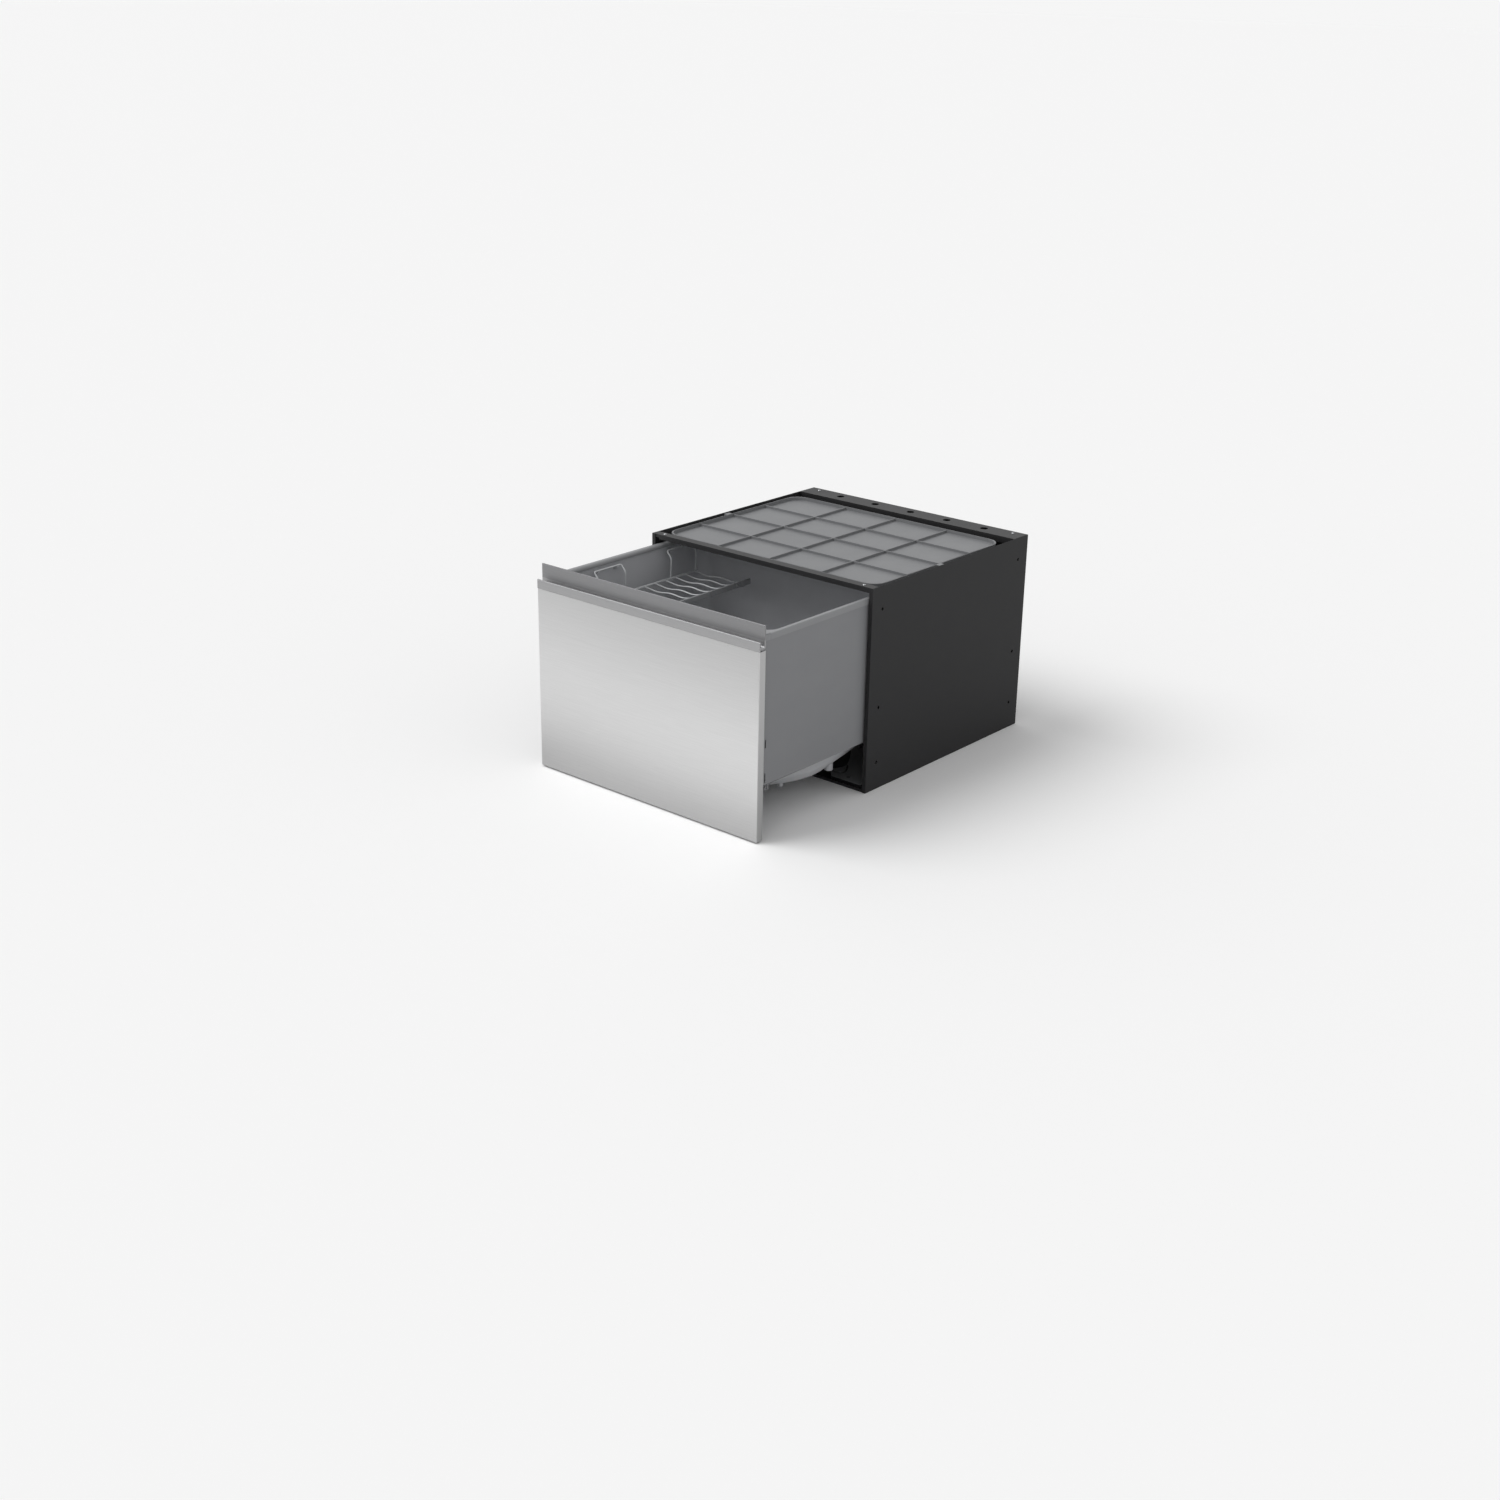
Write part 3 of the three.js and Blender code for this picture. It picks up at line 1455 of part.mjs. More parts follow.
part('panel_backing', panelBacking(), colours.zinc);
part('control_strip', controlStrip(), colours.rim);
part('control_module', controlModule(), colours.white);
buttonNames.forEach((name, i) => part(`button_${name}`, button(i), colours.dark));
part('sump_housing', sumpHousing(), colours.dark);
part('wash_motor', washMotor(), colours.white);
part('drain_pump', drainPump(), colours.dark);
part('filter_plate', filterPlate(), colours.zinc);
part('drain_filter', drainFilter(), colours.dark);
part('spray_arm', sprayArm(), colours.grey);
part('dispenser_body', dispenserBody(), colours.grey);
part('dispenser_lid', dispenserLid(), colours.rim);
part('base_rack', baseRack(), colours.wire);
for (const { name, s } of sides) part(`rack_side_${name}`, rackSide(s), colours.wire);
part('rack_end_front', rackEnd(-1), colours.wire);
part('rack_end_rear', rackEnd(1), colours.wire);
['left', 'middle', 'centre'].forEach((name, i) => {
  part(`fixed_tines_${name}`, fixedTines(fixedRows[i]), colours.wire);
});
['inner', 'outer'].forEach((name, i) => {
  part(`folding_tines_${name}`, foldingTines(foldingRows[i]), colours.wire);
});
part('rack_hanger_front', rackHanger(hangerSpans[0]), colours.wire);
part('rack_hanger_rear', rackHanger(hangerSpans[1]), colours.wire);
part('cup_rack', cupRack(), colours.wire);
part('cup_rack_edge', cupRackEdge(), colours.grey);

appliance.position.y = -chassisDepth / 2;

export default appliance;
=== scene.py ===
"""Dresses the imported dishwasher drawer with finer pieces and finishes, and lays a pale studio round it."""

import logging
import math
from dataclasses import dataclass
from enum import Enum
from typing import Iterable, Sequence

import bmesh
import bpy
from mathutils import Euler, Matrix, Vector


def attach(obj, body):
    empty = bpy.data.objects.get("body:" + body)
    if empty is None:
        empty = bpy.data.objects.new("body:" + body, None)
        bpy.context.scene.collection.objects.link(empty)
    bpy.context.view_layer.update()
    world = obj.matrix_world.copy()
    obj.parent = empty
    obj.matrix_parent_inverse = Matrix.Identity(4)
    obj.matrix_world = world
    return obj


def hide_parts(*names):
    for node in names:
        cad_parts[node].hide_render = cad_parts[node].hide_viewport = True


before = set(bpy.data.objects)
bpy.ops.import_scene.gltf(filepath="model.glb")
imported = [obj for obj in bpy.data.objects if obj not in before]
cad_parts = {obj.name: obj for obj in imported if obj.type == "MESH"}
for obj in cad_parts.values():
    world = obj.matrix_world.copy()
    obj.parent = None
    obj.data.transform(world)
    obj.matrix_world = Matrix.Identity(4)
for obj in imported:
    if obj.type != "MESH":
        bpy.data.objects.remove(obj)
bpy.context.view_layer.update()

log = logging.getLogger("dishwasher_drawer")

MM = 0.001
Row = Sequence[float]
Path = Sequence[Row]
Tree = bpy.types.NodeTree
Node = bpy.types.Node
Socket = bpy.types.NodeSocket


class Slot(Enum):
    """The record's material slots."""

    BRUSHED_STAINLESS = "brushed_stainless"
    TUB_MOULDING = "tub_moulding"
    RIM_MOULDING = "rim_moulding"
    CHASSIS_STEEL = "chassis_steel"
    ZINC_STEEL = "zinc_steel"
    RACK_WIRE = "rack_wire"
    DARK_MOULDING = "dark_moulding"
    PALE_MOULDING = "pale_moulding"
    MOTOR_METAL = "motor_metal"
    SEAL_RUBBER = "seal_rubber"


class Body(Enum):
    """The bodies that pieces ride on."""

    CHASSIS = "chassis"
    DRAWER = "drawer"
    MIDDLE_LEFT = "runner_middle_left"
    MIDDLE_RIGHT = "runner_middle_right"
    SPRAY_ARM = "spray_arm"
    CUP_RACK = "cup_rack"
    TINES_INNER = "folding_tines_inner"
    TINES_OUTER = "folding_tines_outer"


# ---------------------------------------------------------------- finishes


def linear(colour: str) -> tuple[float, float, float, float]:
    """Turns an sRGB colour into the linear one that sockets take.

    Args:
        colour: Six hex digits after a hash.

    Returns:
        Red, green, blue and an alpha of 1.
    """
    parts = [int(colour[i : i + 2], 16) / 255 for i in (1, 3, 5)]
    red, green, blue = (c / 12.92 if c <= 0.04045 else ((c + 0.055) / 1.055) ** 2.4 for c in parts)
    return red, green, blue, 1.0


def add_node(tree: Tree, kind: str, inputs: dict | None = None, **settings) -> Node:
    """Adds a node.

    Args:
        tree: The node tree that it goes in.
        kind: The node's type.
        inputs: Input names or places, each with a value or the output that feeds it.
        **settings: The node's own properties.

    Returns:
        The node.
    """
    node = tree.nodes.new(kind)
    for name, value in settings.items():
        setattr(node, name, value)
    for key, value in (inputs or {}).items():
        if isinstance(value, Socket):
            tree.links.new(value, node.inputs[key])
        else:
            node.inputs[key].default_value = value
    return node


def add_place(tree: Tree) -> Socket:
    """Gives each point's place in the row's frame, in metres."""
    return add_node(tree, "ShaderNodeTexCoord").outputs["Object"]


def add_axis(tree: Tree, vector: Socket, axis: str) -> Socket:
    """Takes one axis out of a vector."""
    return add_node(tree, "ShaderNodeSeparateXYZ", {0: vector}).outputs[axis]


def add_mix(
    tree: Tree, factor: float | Socket, low: Row | Socket, high: Row | Socket, blend: str = "MIX"
) -> Socket:
    """Blends two colours; the factor says how much of the second one shows."""
    inputs = {0: factor, 6: low, 7: high}
    return add_node(tree, "ShaderNodeMix", inputs, data_type="RGBA", blend_type=blend).outputs[2]


def add_range(tree: Tree, value: Socket, low: float, high: float, to: Row = (0.0, 1.0)) -> Socket:
    """Stretches a value's range, from low to high, over another one, and holds it at its ends."""
    inputs = {"Value": value, "From Min": low, "From Max": high, "To Min": to[0], "To Max": to[1]}
    return add_node(tree, "ShaderNodeMapRange", inputs).outputs["Result"]


@dataclass(frozen=True)
class Finish:
    """What a surface is and how its making shows.

    Attributes:
        name: The real material's name.
        slot: The record's slot; not used.
        colour: Its main colour.
        other: The second colour: of its lines, clouds or crystals, or the painted shade in a pierced sheet's
            holes.
        roughness: Its middle roughness.
        metallic: 0 for plastic and paint, up to 1 for bare metal.
        ior: Index of refraction of what isn't metal.
    """

    name: str
    slot: Slot
    colour: str
    other: str
    roughness: float
    metallic: float = 0.0
    ior: float = 1.5

    def material(self) -> bpy.types.Material:
        """Gives the material, made on first use and shared after that."""
        made = bpy.data.materials.get(self.name)
        if made is None:
            made = bpy.data.materials.new(self.name)
            made.use_nodes = True
            tree = made.node_tree
            tree.nodes.clear()
            values = {
                "Base Color": linear(self.colour),
                "Roughness": self.roughness,
                "Metallic": self.metallic,
            }
            shader = add_node(tree, "ShaderNodeBsdfPrincipled", values)
            if not self.metallic:
                shader.inputs["IOR"].default_value = self.ior
            add_node(tree, "ShaderNodeOutputMaterial", {"Surface": shader.outputs["BSDF"]})
            self.texture(tree, shader)
        return made

    def texture(self, tree: Tree, shader: Node) -> None:
        """Adds what the making gives the surface; each finish has its own."""

    @staticmethod
    def grain(tree: Tree, size: Row, detail: float = 2.0) -> Socket:
        """Lays noise over the surface at a real size.

        Args:
            tree: The material's node tree.
            size: The width in millimetres of one feature along X, Y and Z.
            detail: How much finer noise rides on it.

        Returns:
            The noise, from 0 to 1.
        """
        scale = tuple(1 / (s * MM) for s in size)
        scaled = add_node(
            tree, "ShaderNodeVectorMath", {0: add_place(tree), 1: scale}, operation="MULTIPLY"
        )
        inputs = {"Vector": scaled.outputs["Vector"], "Scale": 1.0, "Detail": detail}
        return add_node(tree, "ShaderNodeTexNoise", inputs).outputs["Fac"]

    @staticmethod
    def relief(tree: Tree, shader: Node, height: Socket, depth: float) -> None:
        """Raises the surface by a pattern.

        Args:
            tree: The material's node tree.
            shader: The shader that is raised.
            height: The pattern, from 0 to 1.
            depth: Its height in millimetres.
        """
        bump = add_node(tree, "ShaderNodeBump", {"Height": height, "Distance": depth * MM})
        tree.links.new(bump.outputs["Normal"], shader.inputs["Normal"])

    def spread(self, tree: Tree, shader: Node, factor: Socket, rough: float) -> None:
        """Lets the colour wander to the second one, and the roughness up, with a pattern.

        Args:
            tree: The material's node tree.
            shader: The shader that takes them.
            factor: The pattern, from 0 to 1.
            rough: How far the roughness goes each way.
        """
        colour = add_mix(tree, factor, linear(self.colour), linear(self.other))
        tree.links.new(colour, shader.inputs["Base Color"])
        ends = (self.roughness - rough, self.roughness + rough)
        tree.links.new(add_range(tree, factor, 0.0, 1.0, ends), shader.inputs["Roughness"])


@dataclass(frozen=True)
class BrushedSteel(Finish):
    """Stainless sheet drawn past an abrasive belt: lines along X that pull reflections out up and down.

    Attributes:
        line: The height in millimetres of one brush line. Real ones are about 0.1, too fine to show, so
            these are drawn at the size that a view of the whole drawer can show.
        stroke: The length in millimetres of one line.
    """

    line: float = 0.9
    stroke: float = 60.0

    def texture(self, tree: Tree, shader: Node) -> None:
        """Lays brush lines in colour, roughness and relief, and turns the gloss across them."""
        lines = self.grain(tree, (self.stroke, self.line, self.line), detail=3.0)
        self.spread(tree, shader, lines, rough=0.05)
        self.relief(tree, shader, lines, depth=0.006)
        shader.inputs["Anisotropic"].default_value = 0.6
        shader.inputs["Anisotropic Rotation"].default_value = 0.25
        tangent = add_node(tree, "ShaderNodeTangent", direction_type="RADIAL", axis="Z")
        tree.links.new(tangent.outputs["Tangent"], shader.inputs["Tangent"])


@dataclass(frozen=True)
class FoldedSteel(BrushedSteel):
    """Brushed sheet folded round a channel: bright in front, and darkened behind the fold as painted shade,
    where the channel shades it.

    Its raw edges face up and are never brushed; every face that turns up is darkened, partly for their own
    dullness and partly as painted shade that dims the highlight there.

    Attributes:
        fold: The height in millimetres above which the painted shade lies.
        inner: What its colour is multiplied by there, as painted shade.
        upward_shade: What its colour is multiplied by where it faces up: painted shade, and partly the raw
            edges' own dullness.
    """

    fold: float = 411.5
    inner: str = "#dfdfe0"
    upward_shade: str = "#a8a8a9"

    def texture(self, tree: Tree, shader: Node) -> None:
        """Brushes the sheet, and paints shade above the fold and on what faces up."""
        super().texture(tree, shader)
        brushed = shader.inputs["Base Color"].links[0].from_socket
        height = add_axis(tree, add_place(tree), "Z")
        above = add_range(tree, height, (self.fold - 1) * MM, (self.fold + 1) * MM)
        # painted shade: darkens the sheet above the fold, where the channel shades it
        dull = add_mix(tree, 1.0, brushed, linear(self.inner), "MULTIPLY")
        sheet = add_mix(tree, above, brushed, dull)
        normal = add_node(tree, "ShaderNodeNewGeometry").outputs["Normal"]
        upward = add_range(tree, add_axis(tree, normal, "Z"), 0.3, 0.7)
        # painted shade on what faces up, dimming its highlight; partly the raw edges' own dullness
        painted_top_shade = add_mix(tree, upward, sheet, linear(self.upward_shade), "MULTIPLY")
        tree.links.new(painted_top_shade, shader.inputs["Base Color"])


@dataclass(frozen=True)
class MouldedPlastic(Finish):
    """Injection-moulded polypropylene or ABS: a fine spark-eroded grain over softly clouded colour.

    Attributes:
        spark: The width in millimetres of one pit of the grain.
        depth: How deep in millimetres the grain is.
    """

    spark: float = 1.1
    depth: float = 0.03

    def texture(self, tree: Tree, shader: Node) -> None:
        """Clouds the colour and grains the surface."""
        clouds = self.grain(tree, (70, 70, 45), detail=3.0)
        self.spread(tree, shader, clouds, rough=0.04)
        self.relief(tree, shader, self.grain(tree, (self.spark,) * 3, detail=1.0), self.depth)


@dataclass(frozen=True)
class PowderCoat(Finish):
    """Steel with a baked powder coat: a shallow orange peel over a dark, even colour.

    Attributes:
        peel: The width in millimetres of one dimple.
    """

    peel: float = 2.4

    def texture(self, tree: Tree, shader: Node) -> None:
        """Dimples the coat."""
        self.spread(tree, shader, self.grain(tree, (55,) * 3, detail=4.0), rough=0.06)
        self.relief(tree, shader, self.grain(tree, (self.peel,) * 3, detail=1.0), depth=0.05)


@dataclass(frozen=True)
class ZincPlate(Finish):
    """Zinc-coated steel or cast metal: flat crystals, each with its own tone.

    Attributes:
        crystal: The width in millimetres of one crystal.
    """

    crystal: float = 9.0

    def texture(self, tree: Tree, shader: Node) -> None:
        """Breaks the surface into crystals."""
        inputs = {"Vector": add_place(tree), "Scale": 1 / (self.crystal * MM)}
        crystals = add_node(tree, "ShaderNodeTexVoronoi", inputs)
        tone = add_node(tree, "ShaderNodeSeparateColor", {0: crystals.outputs["Color"]})
        self.spread(tree, shader, tone.outputs[0], rough=0.08)
        self.relief(tree, shader, self.grain(tree, (3,) * 3), depth=0.01)


@dataclass(frozen=True)
class CoatedWire(Finish):
    """Steel wire dipped in nylon: a smooth skin with slow runs in it."""

    def texture(self, tree: Tree, shader: Node) -> None:
        """Lets the dipped skin run a little."""
        runs = self.grain(tree, (9,) * 3, detail=1.0)
        self.spread(tree, shader, runs, rough=0.05)
        self.relief(tree, shader, runs, depth=0.04)
        shader.inputs["Coat Weight"].default_value = 0.25
        shader.inputs["Coat Roughness"].default_value = 0.2


@dataclass(frozen=True)
class Rubber(Finish):
    """Moulded EPDM: dull, with a bloom of dust in its grain."""

    def texture(self, tree: Tree, shader: Node) -> None:
        """Blooms the colour and grains the surface."""
        self.spread(tree, shader, self.grain(tree, (4,) * 3, detail=4.0), rough=0.05)
        self.relief(tree, shader, self.grain(tree, (0.9,) * 3, detail=1.0), depth=0.03)


@dataclass(frozen=True)
class PiercedSteel(Finish):
    """Stainless sheet pierced with a close pattern of round holes.

    Attributes:
        pitch: From one hole to the next, in millimetres. Real ones are 1.5 apart, drawn wider to show.
        edge: Where a hole's edge starts and ends, as shares of the pitch from its middle.
    """

    pitch: float = 3.2
    edge: Row = (0.3, 0.36)

    def texture(self, tree: Tree, shader: Node) -> None:
        """Paints shade into the holes, and sinks them."""
        inputs = {"Vector": add_place(tree), "Scale": 1 / (self.pitch * MM), "Randomness": 0.0}
        holes = add_node(tree, "ShaderNodeTexVoronoi", inputs, voronoi_dimensions="2D")
        sheet = add_range(tree, holes.outputs["Distance"], *self.edge)
        # painted shade: the holes take the dark second colour in place of the shade seen through them
        colour = add_mix(tree, sheet, linear(self.other), linear(self.colour))
        tree.links.new(colour, shader.inputs["Base Color"])
        self.relief(tree, shader, sheet, depth=0.3)


PANEL_STEEL = BrushedSteel(
    "brushed_304_stainless", Slot.BRUSHED_STAINLESS, "#e9e9e9", "#dcdcdc", 0.30, 1.0
)
HANDLE_STEEL = FoldedSteel(
    "brushed_stainless_folded", Slot.BRUSHED_STAINLESS, "#c4c4c5", "#b2b2b3", 0.36, 1.0,
    line=1.4, stroke=34.0,
)
TUB_PLASTIC = MouldedPlastic("moulded_polypropylene_grey", Slot.TUB_MOULDING, "#bcbdc0", "#b1b2b5", 0.46)
LID_PLASTIC = MouldedPlastic("moulded_polypropylene_lid", Slot.TUB_MOULDING, "#7c7d7f", "#757678", 0.5)
SKIN_PLASTIC = MouldedPlastic(
    "moulded_abs_satin_grey", Slot.TUB_MOULDING, "#838486", "#7e7f82", 0.42, depth=0.012
)
RIM_PLASTIC = MouldedPlastic(
    "moulded_polypropylene_light_grey", Slot.RIM_MOULDING, "#8d8e90", "#868789", 0.45
)
DARK_PLASTIC = MouldedPlastic("moulded_abs_charcoal", Slot.DARK_MOULDING, "#37383a", "#303133", 0.5)
PALE_PLASTIC = MouldedPlastic(
    "moulded_polypropylene_white", Slot.PALE_MOULDING, "#d2d2d1", "#c9c9c8", 0.45
)
ARM_PLASTIC = MouldedPlastic(
    "moulded_glass_filled_polypropylene", Slot.TUB_MOULDING, "#97989a", "#8e8f92", 0.42
)
# lighter than the black pan, on a patch shaped like where light reaches the deck: partly a painted pool of
# light
LINER_PLASTIC_PAINTED_LIGHT = MouldedPlastic(
    "moulded_polypropylene_liner", Slot.TUB_MOULDING, "#808183", "#797a7c", 0.5
)
BLACK_COAT = PowderCoat("powder_coated_steel_black", Slot.CHASSIS_STEEL, "#19191a", "#202022", 0.55)
ZINC = ZincPlate("hot_dipped_galvanised_steel", Slot.ZINC_STEEL, "#a9acae", "#8f9294", 0.38, 0.9)
BLACK_ZINC = ZincPlate("black_passivated_zinc_steel", Slot.ZINC_STEEL, "#2a2b2c", "#242526", 0.5, 0.6)
ZINC_FIXING = ZincPlate("zinc_plated_screw", Slot.ZINC_STEEL, "#b4b6b8", "#a0a2a4", 0.3, 1.0, crystal=2.0)
WIRE_COAT = CoatedWire("nylon_dipped_steel_wire", Slot.RACK_WIRE, "#bec0c2", "#c9cbcc", 0.36)
EPDM = Rubber("moulded_epdm_black", Slot.SEAL_RUBBER, "#232324", "#2c2c2d", 0.78)
MOTOR_CASTING = ZincPlate(
    "die_cast_aluminium", Slot.MOTOR_METAL, "#a4a5a6", "#999b9c", 0.5, 0.8, crystal=1.5
)
# its second colour is painted shade in the filter's holes
FILTER_STEEL = PiercedSteel("pierced_304_stainless", Slot.ZINC_STEEL, "#b9babb", "#161617", 0.34, 1.0)


# ---------------------------------------------------------------- making meshes


def turn_angles(sides: int) -> list[float]:
    """The angles in radians at which a polygon's corners lie."""
    return [2 * math.pi * k / sides for k in range(sides)]


def eased(path: Path, reach: float, steps: int = 4, closed: bool = False) -> list[Vector]:
    """Rounds off the corners of a path, in as many dimensions as its points have.

    Args:
        path: The corners.
        reach: How far from each corner the bend starts.
        steps: How many straight pieces make the bend.
        closed: Whether the last corner joins the first.

    Returns:
        The points of the rounded path.
    """
    corners = [Vector(p) for p in path]
    count = len(corners)
    points = []
    for i, corner in enumerate(corners):
        if not closed and i in (0, count - 1):
            points.append(corner)
            continue
        back, ahead = corners[i - 1] - corner, corners[(i + 1) % count] - corner
        near = min(reach, back.length * 0.45, ahead.length * 0.45)
        start, end = corner + back.normalized() * near, corner + ahead.normalized() * near
        for j in range(steps + 1):
            t = j / steps
            points.append(start.lerp(corner, t).lerp(corner.lerp(end, t), t))
    return points


def rounded_ring(
    half_width: float,
    half_depth: float,
    corner: float,
    height: float,
    centre: float,
    roundness: float = 0.0,
    steps: int = 12,
) -> list[Vector]:
    """Points round a rectangle with round corners, or part way from it to an oval.

    Args:
        half_width: Half its size along X.
        half_depth: Half its size along Y.
        corner: The corners' radius.
        height: Its place along Z.
        centre: Its centre along Y.
        roundness: 0 for the rectangle, 1 for the oval.
        steps: How many pieces make each corner and each side.

    Returns:
        The points, in millimetres, as many for any size.
    """
    arcs = []
    for sx, sy, start in ((1, 1, 0), (-1, 1, 90), (-1, -1, 180), (1, -1, 270)):
        x, y = sx * (half_width - corner), sy * (half_depth - corner)
        angles = [math.radians(start + 90 * j / steps) for j in range(steps + 1)]
        arcs.append([(x + corner * math.cos(a), y + corner * math.sin(a)) for a in angles])
    flat = []
    for quarter, arc in enumerate(arcs):
        flat += arc
        (x0, y0), (x1, y1) = arc[-1], arcs[(quarter + 1) % 4][0]
        flat += [(x0 + (x1 - x0) * j / steps, y0 + (y1 - y0) * j / steps) for j in range(1, steps)]
    ring = []
    for x, y in flat:
        angle = math.atan2(y / half_depth, x / half_width)
        x += (half_width * math.cos(angle) - x) * roundness
        y += (half_depth * math.sin(angle) - y) * roundness
        ring.append(Vector((x, y + centre, height)))
    return ring


class Form:
    """A mesh in the making, in millimetres in the row's frame."""

    def __init__(self) -> None:
        """Starts an empty mesh."""
        self.mesh = bmesh.new()

    def loft(self, rings: Sequence[Path], closed: bool = False, caps: bool = False) -> None:
        """Skins rings that have the same number of points.

        Args:
            rings: The rings, in order.
            closed: Whether the last ring joins the first.
            caps: Whether faces close the first and last rings.
        """
        rows = [[self.mesh.verts.new(p) for p in ring] for ring in rings]
        pairs = list(zip(rows, rows[1:]))
        if closed:
            pairs.append((rows[-1], rows[0]))
        for low, high in pairs:
            for j in range(len(low)):
                k = (j + 1) % len(low)
                self.mesh.faces.new((low[j], low[k], high[k], high[j]))
        if caps:
            self.mesh.faces.new(list(reversed(rows[0])))
            self.mesh.faces.new(rows[-1])

    def wire(self, path: Path, diameter: float, closed: bool = False, sides: int = 12) -> None:
        """Draws a round wire along a path, with domed ends.

        Args:
            path: The middle of the wire.
            diameter: The wire's thickness.
            closed: Whether its end joins its start.
            sides: How many flats make it round.
        """
        points = [Vector(p) for p in path]
        radius = diameter / 2
        radii = [radius] * len(points)
        if not closed:
            first = (points[1] - points[0]).normalized()
            last = (points[-2] - points[-1]).normalized()
            dome = [(1 - math.cos(a), math.sin(a)) for a in (0.35, 0.8, 1.2)] + [(1.0, 1.0)]
            start = [points[0] + first * radius * d for d, _ in dome]
            end = [points[-1] + last * radius * d for d, _ in reversed(dome)]
            rise = [radius * r for _, r in dome]
            radii = rise + radii[1:-1] + rise[::-1]
            points = start + points[1:-1] + end
        count = len(points)
        turns = turn_angles(sides)
        rings = []
        normal = None
        for i, point in enumerate(points):
            before = points[i - 1] if closed or i else point
            after = points[(i + 1) % count] if closed or i < count - 1 else point
            along = (after - before).normalized()
            if normal is None:
                pick = Vector((0, 1, 0)) if abs(along.y) < 0.9 else Vector((1, 0, 0))
                normal = pick.cross(along)
            normal = (normal - along * normal.dot(along)).normalized()
            side = along.cross(normal)
            rings.append([point + (normal * math.cos(a) + side * math.sin(a)) * radii[i] for a in turns])
        self.loft(rings, closed=closed, caps=not closed)

    def prism(self, outline: Path, axis: str, start: float, end: float) -> None:
        """Draws a flat outline out along an axis.

        Args:
            outline: Its points, in the other two axes' order.
            axis: "Y", for an outline along X and Z, or "Z", for one along X and Y.
            start: Where it starts.
            end: Where it ends.
        """
        place = {"Y": lambda a, b, c: (a, c, b), "Z": lambda a, b, c: (a, b, c)}[axis]
        self.loft([[place(a, b, c) for a, b in outline] for c in (start, end)], caps=True)

    def plate(
        self, outline: Path, holes: Sequence[Row], low: float, high: float, sides: int = 24
    ) -> None:
        """Adds a level plate with round holes through it.

        Args:
            outline: Its points, in order.
            holes: Each hole's middle and radius.
            low: Its underside.
            high: Its top.
            sides: How many flats make a hole round.
        """
        turns = turn_angles(sides)
        loops = [list(outline)]
        loops += [[(x + r * math.cos(a), y + r * math.sin(a)) for a in turns] for x, y, r in holes]
        levels = []
        for z in (low, high):
            rows = [[self.mesh.verts.new((x, y, z)) for x, y in loop] for loop in loops]
            edges = [self.mesh.edges.new((row[i - 1], row[i])) for row in rows for i in range(len(row))]
            bmesh.ops.triangle_fill(self.mesh, edges=edges, use_beauty=True)
            levels.append(rows)
        for below, above in zip(*levels):
            for i in range(len(below)):
                self.mesh.faces.new((below[i - 1], below[i], above[i], above[i - 1]))

    def block(self, low: Row, high: Row) -> None:
        """Adds a block between two corners; its edges are softened with the rest."""
        (x0, y0, z0), (x1, y1, z1) = low, high
        self.prism([(x0, y0), (x1, y0), (x1, y1), (x0, y1)], "Z", z0, z1)

    def turned(self, profile: Path, centre: Row, direction: Row = (0, 0, 1), sides: int = 32) -> None:
        """Turns a profile about an axis.

        Args:
            profile: Points of radius and height along the axis.
            centre: Where the axis starts.
            direction: Which way it points.
            sides: How many flats make it round.
        """
        turn = Vector(direction).to_track_quat("Z", "Y")
        angles = turn_angles(sides)
        rings = [
            [Vector(centre) + turn @ Vector((r * math.cos(a), r * math.sin(a), h)) for a in angles]
            for r, h in profile
        ]
        self.loft(rings, caps=True)

    def finish(
        self,
        name: str,
        finish: Finish,
        body: Body,
        replaces: Iterable[str] = (),
        edge: float = 0.0,
        sharp: float = 35.0,
    ) -> None:
        """Turns the mesh into a piece of the drawer.

        Args:
            name: The piece's name.
            finish: What it is made of.
            body: What it moves with.
            replaces: The CAD nodes that it stands for.
            edge: The radius in millimetres of its softened edges, or 0.
            sharp: Edges that turn by more than this many degrees stay crisp.
        """
        bmesh.ops.recalc_face_normals(self.mesh, faces=self.mesh.faces)
        bmesh.ops.transform(self.mesh, matrix=Matrix.Scale(MM, 4), verts=self.mesh.verts)
        mesh = bpy.data.meshes.new(name)
        self.mesh.to_mesh(mesh)
        self.mesh.free()
        mesh.shade_smooth()
        mesh.set_sharp_from_angle(angle=math.radians(sharp))
        mesh.materials.append(finish.material())
        piece = put_in(name, mesh)
        if edge:
            soften(piece, edge)
        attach(piece, body.value)
        if replaces:
            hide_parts(*replaces)
        log.info("%s: %d faces on %s", name, len(mesh.polygons), body.value)


def put_in(name: str, data: bpy.types.ID) -> bpy.types.Object:
    """Makes an object of a mesh, lamp or camera and puts it in the scene."""
    made = bpy.data.objects.new(name, data)
    bpy.context.scene.collection.objects.link(made)
    return made


def soften(piece: bpy.types.Object, radius: float) -> None:
    """Rounds a piece's edges, as folding, moulding or grinding leaves them.

    Args:
        piece: The piece.
        radius: The rounding's size in millimetres.
    """
    bevel = piece.modifiers.new("softened edges", "BEVEL")
    bevel.width = radius * MM
    bevel.segments = 3
    bevel.limit_method = "ANGLE"
    bevel.angle_limit = math.radians(40)
    bevel.harden_normals = True


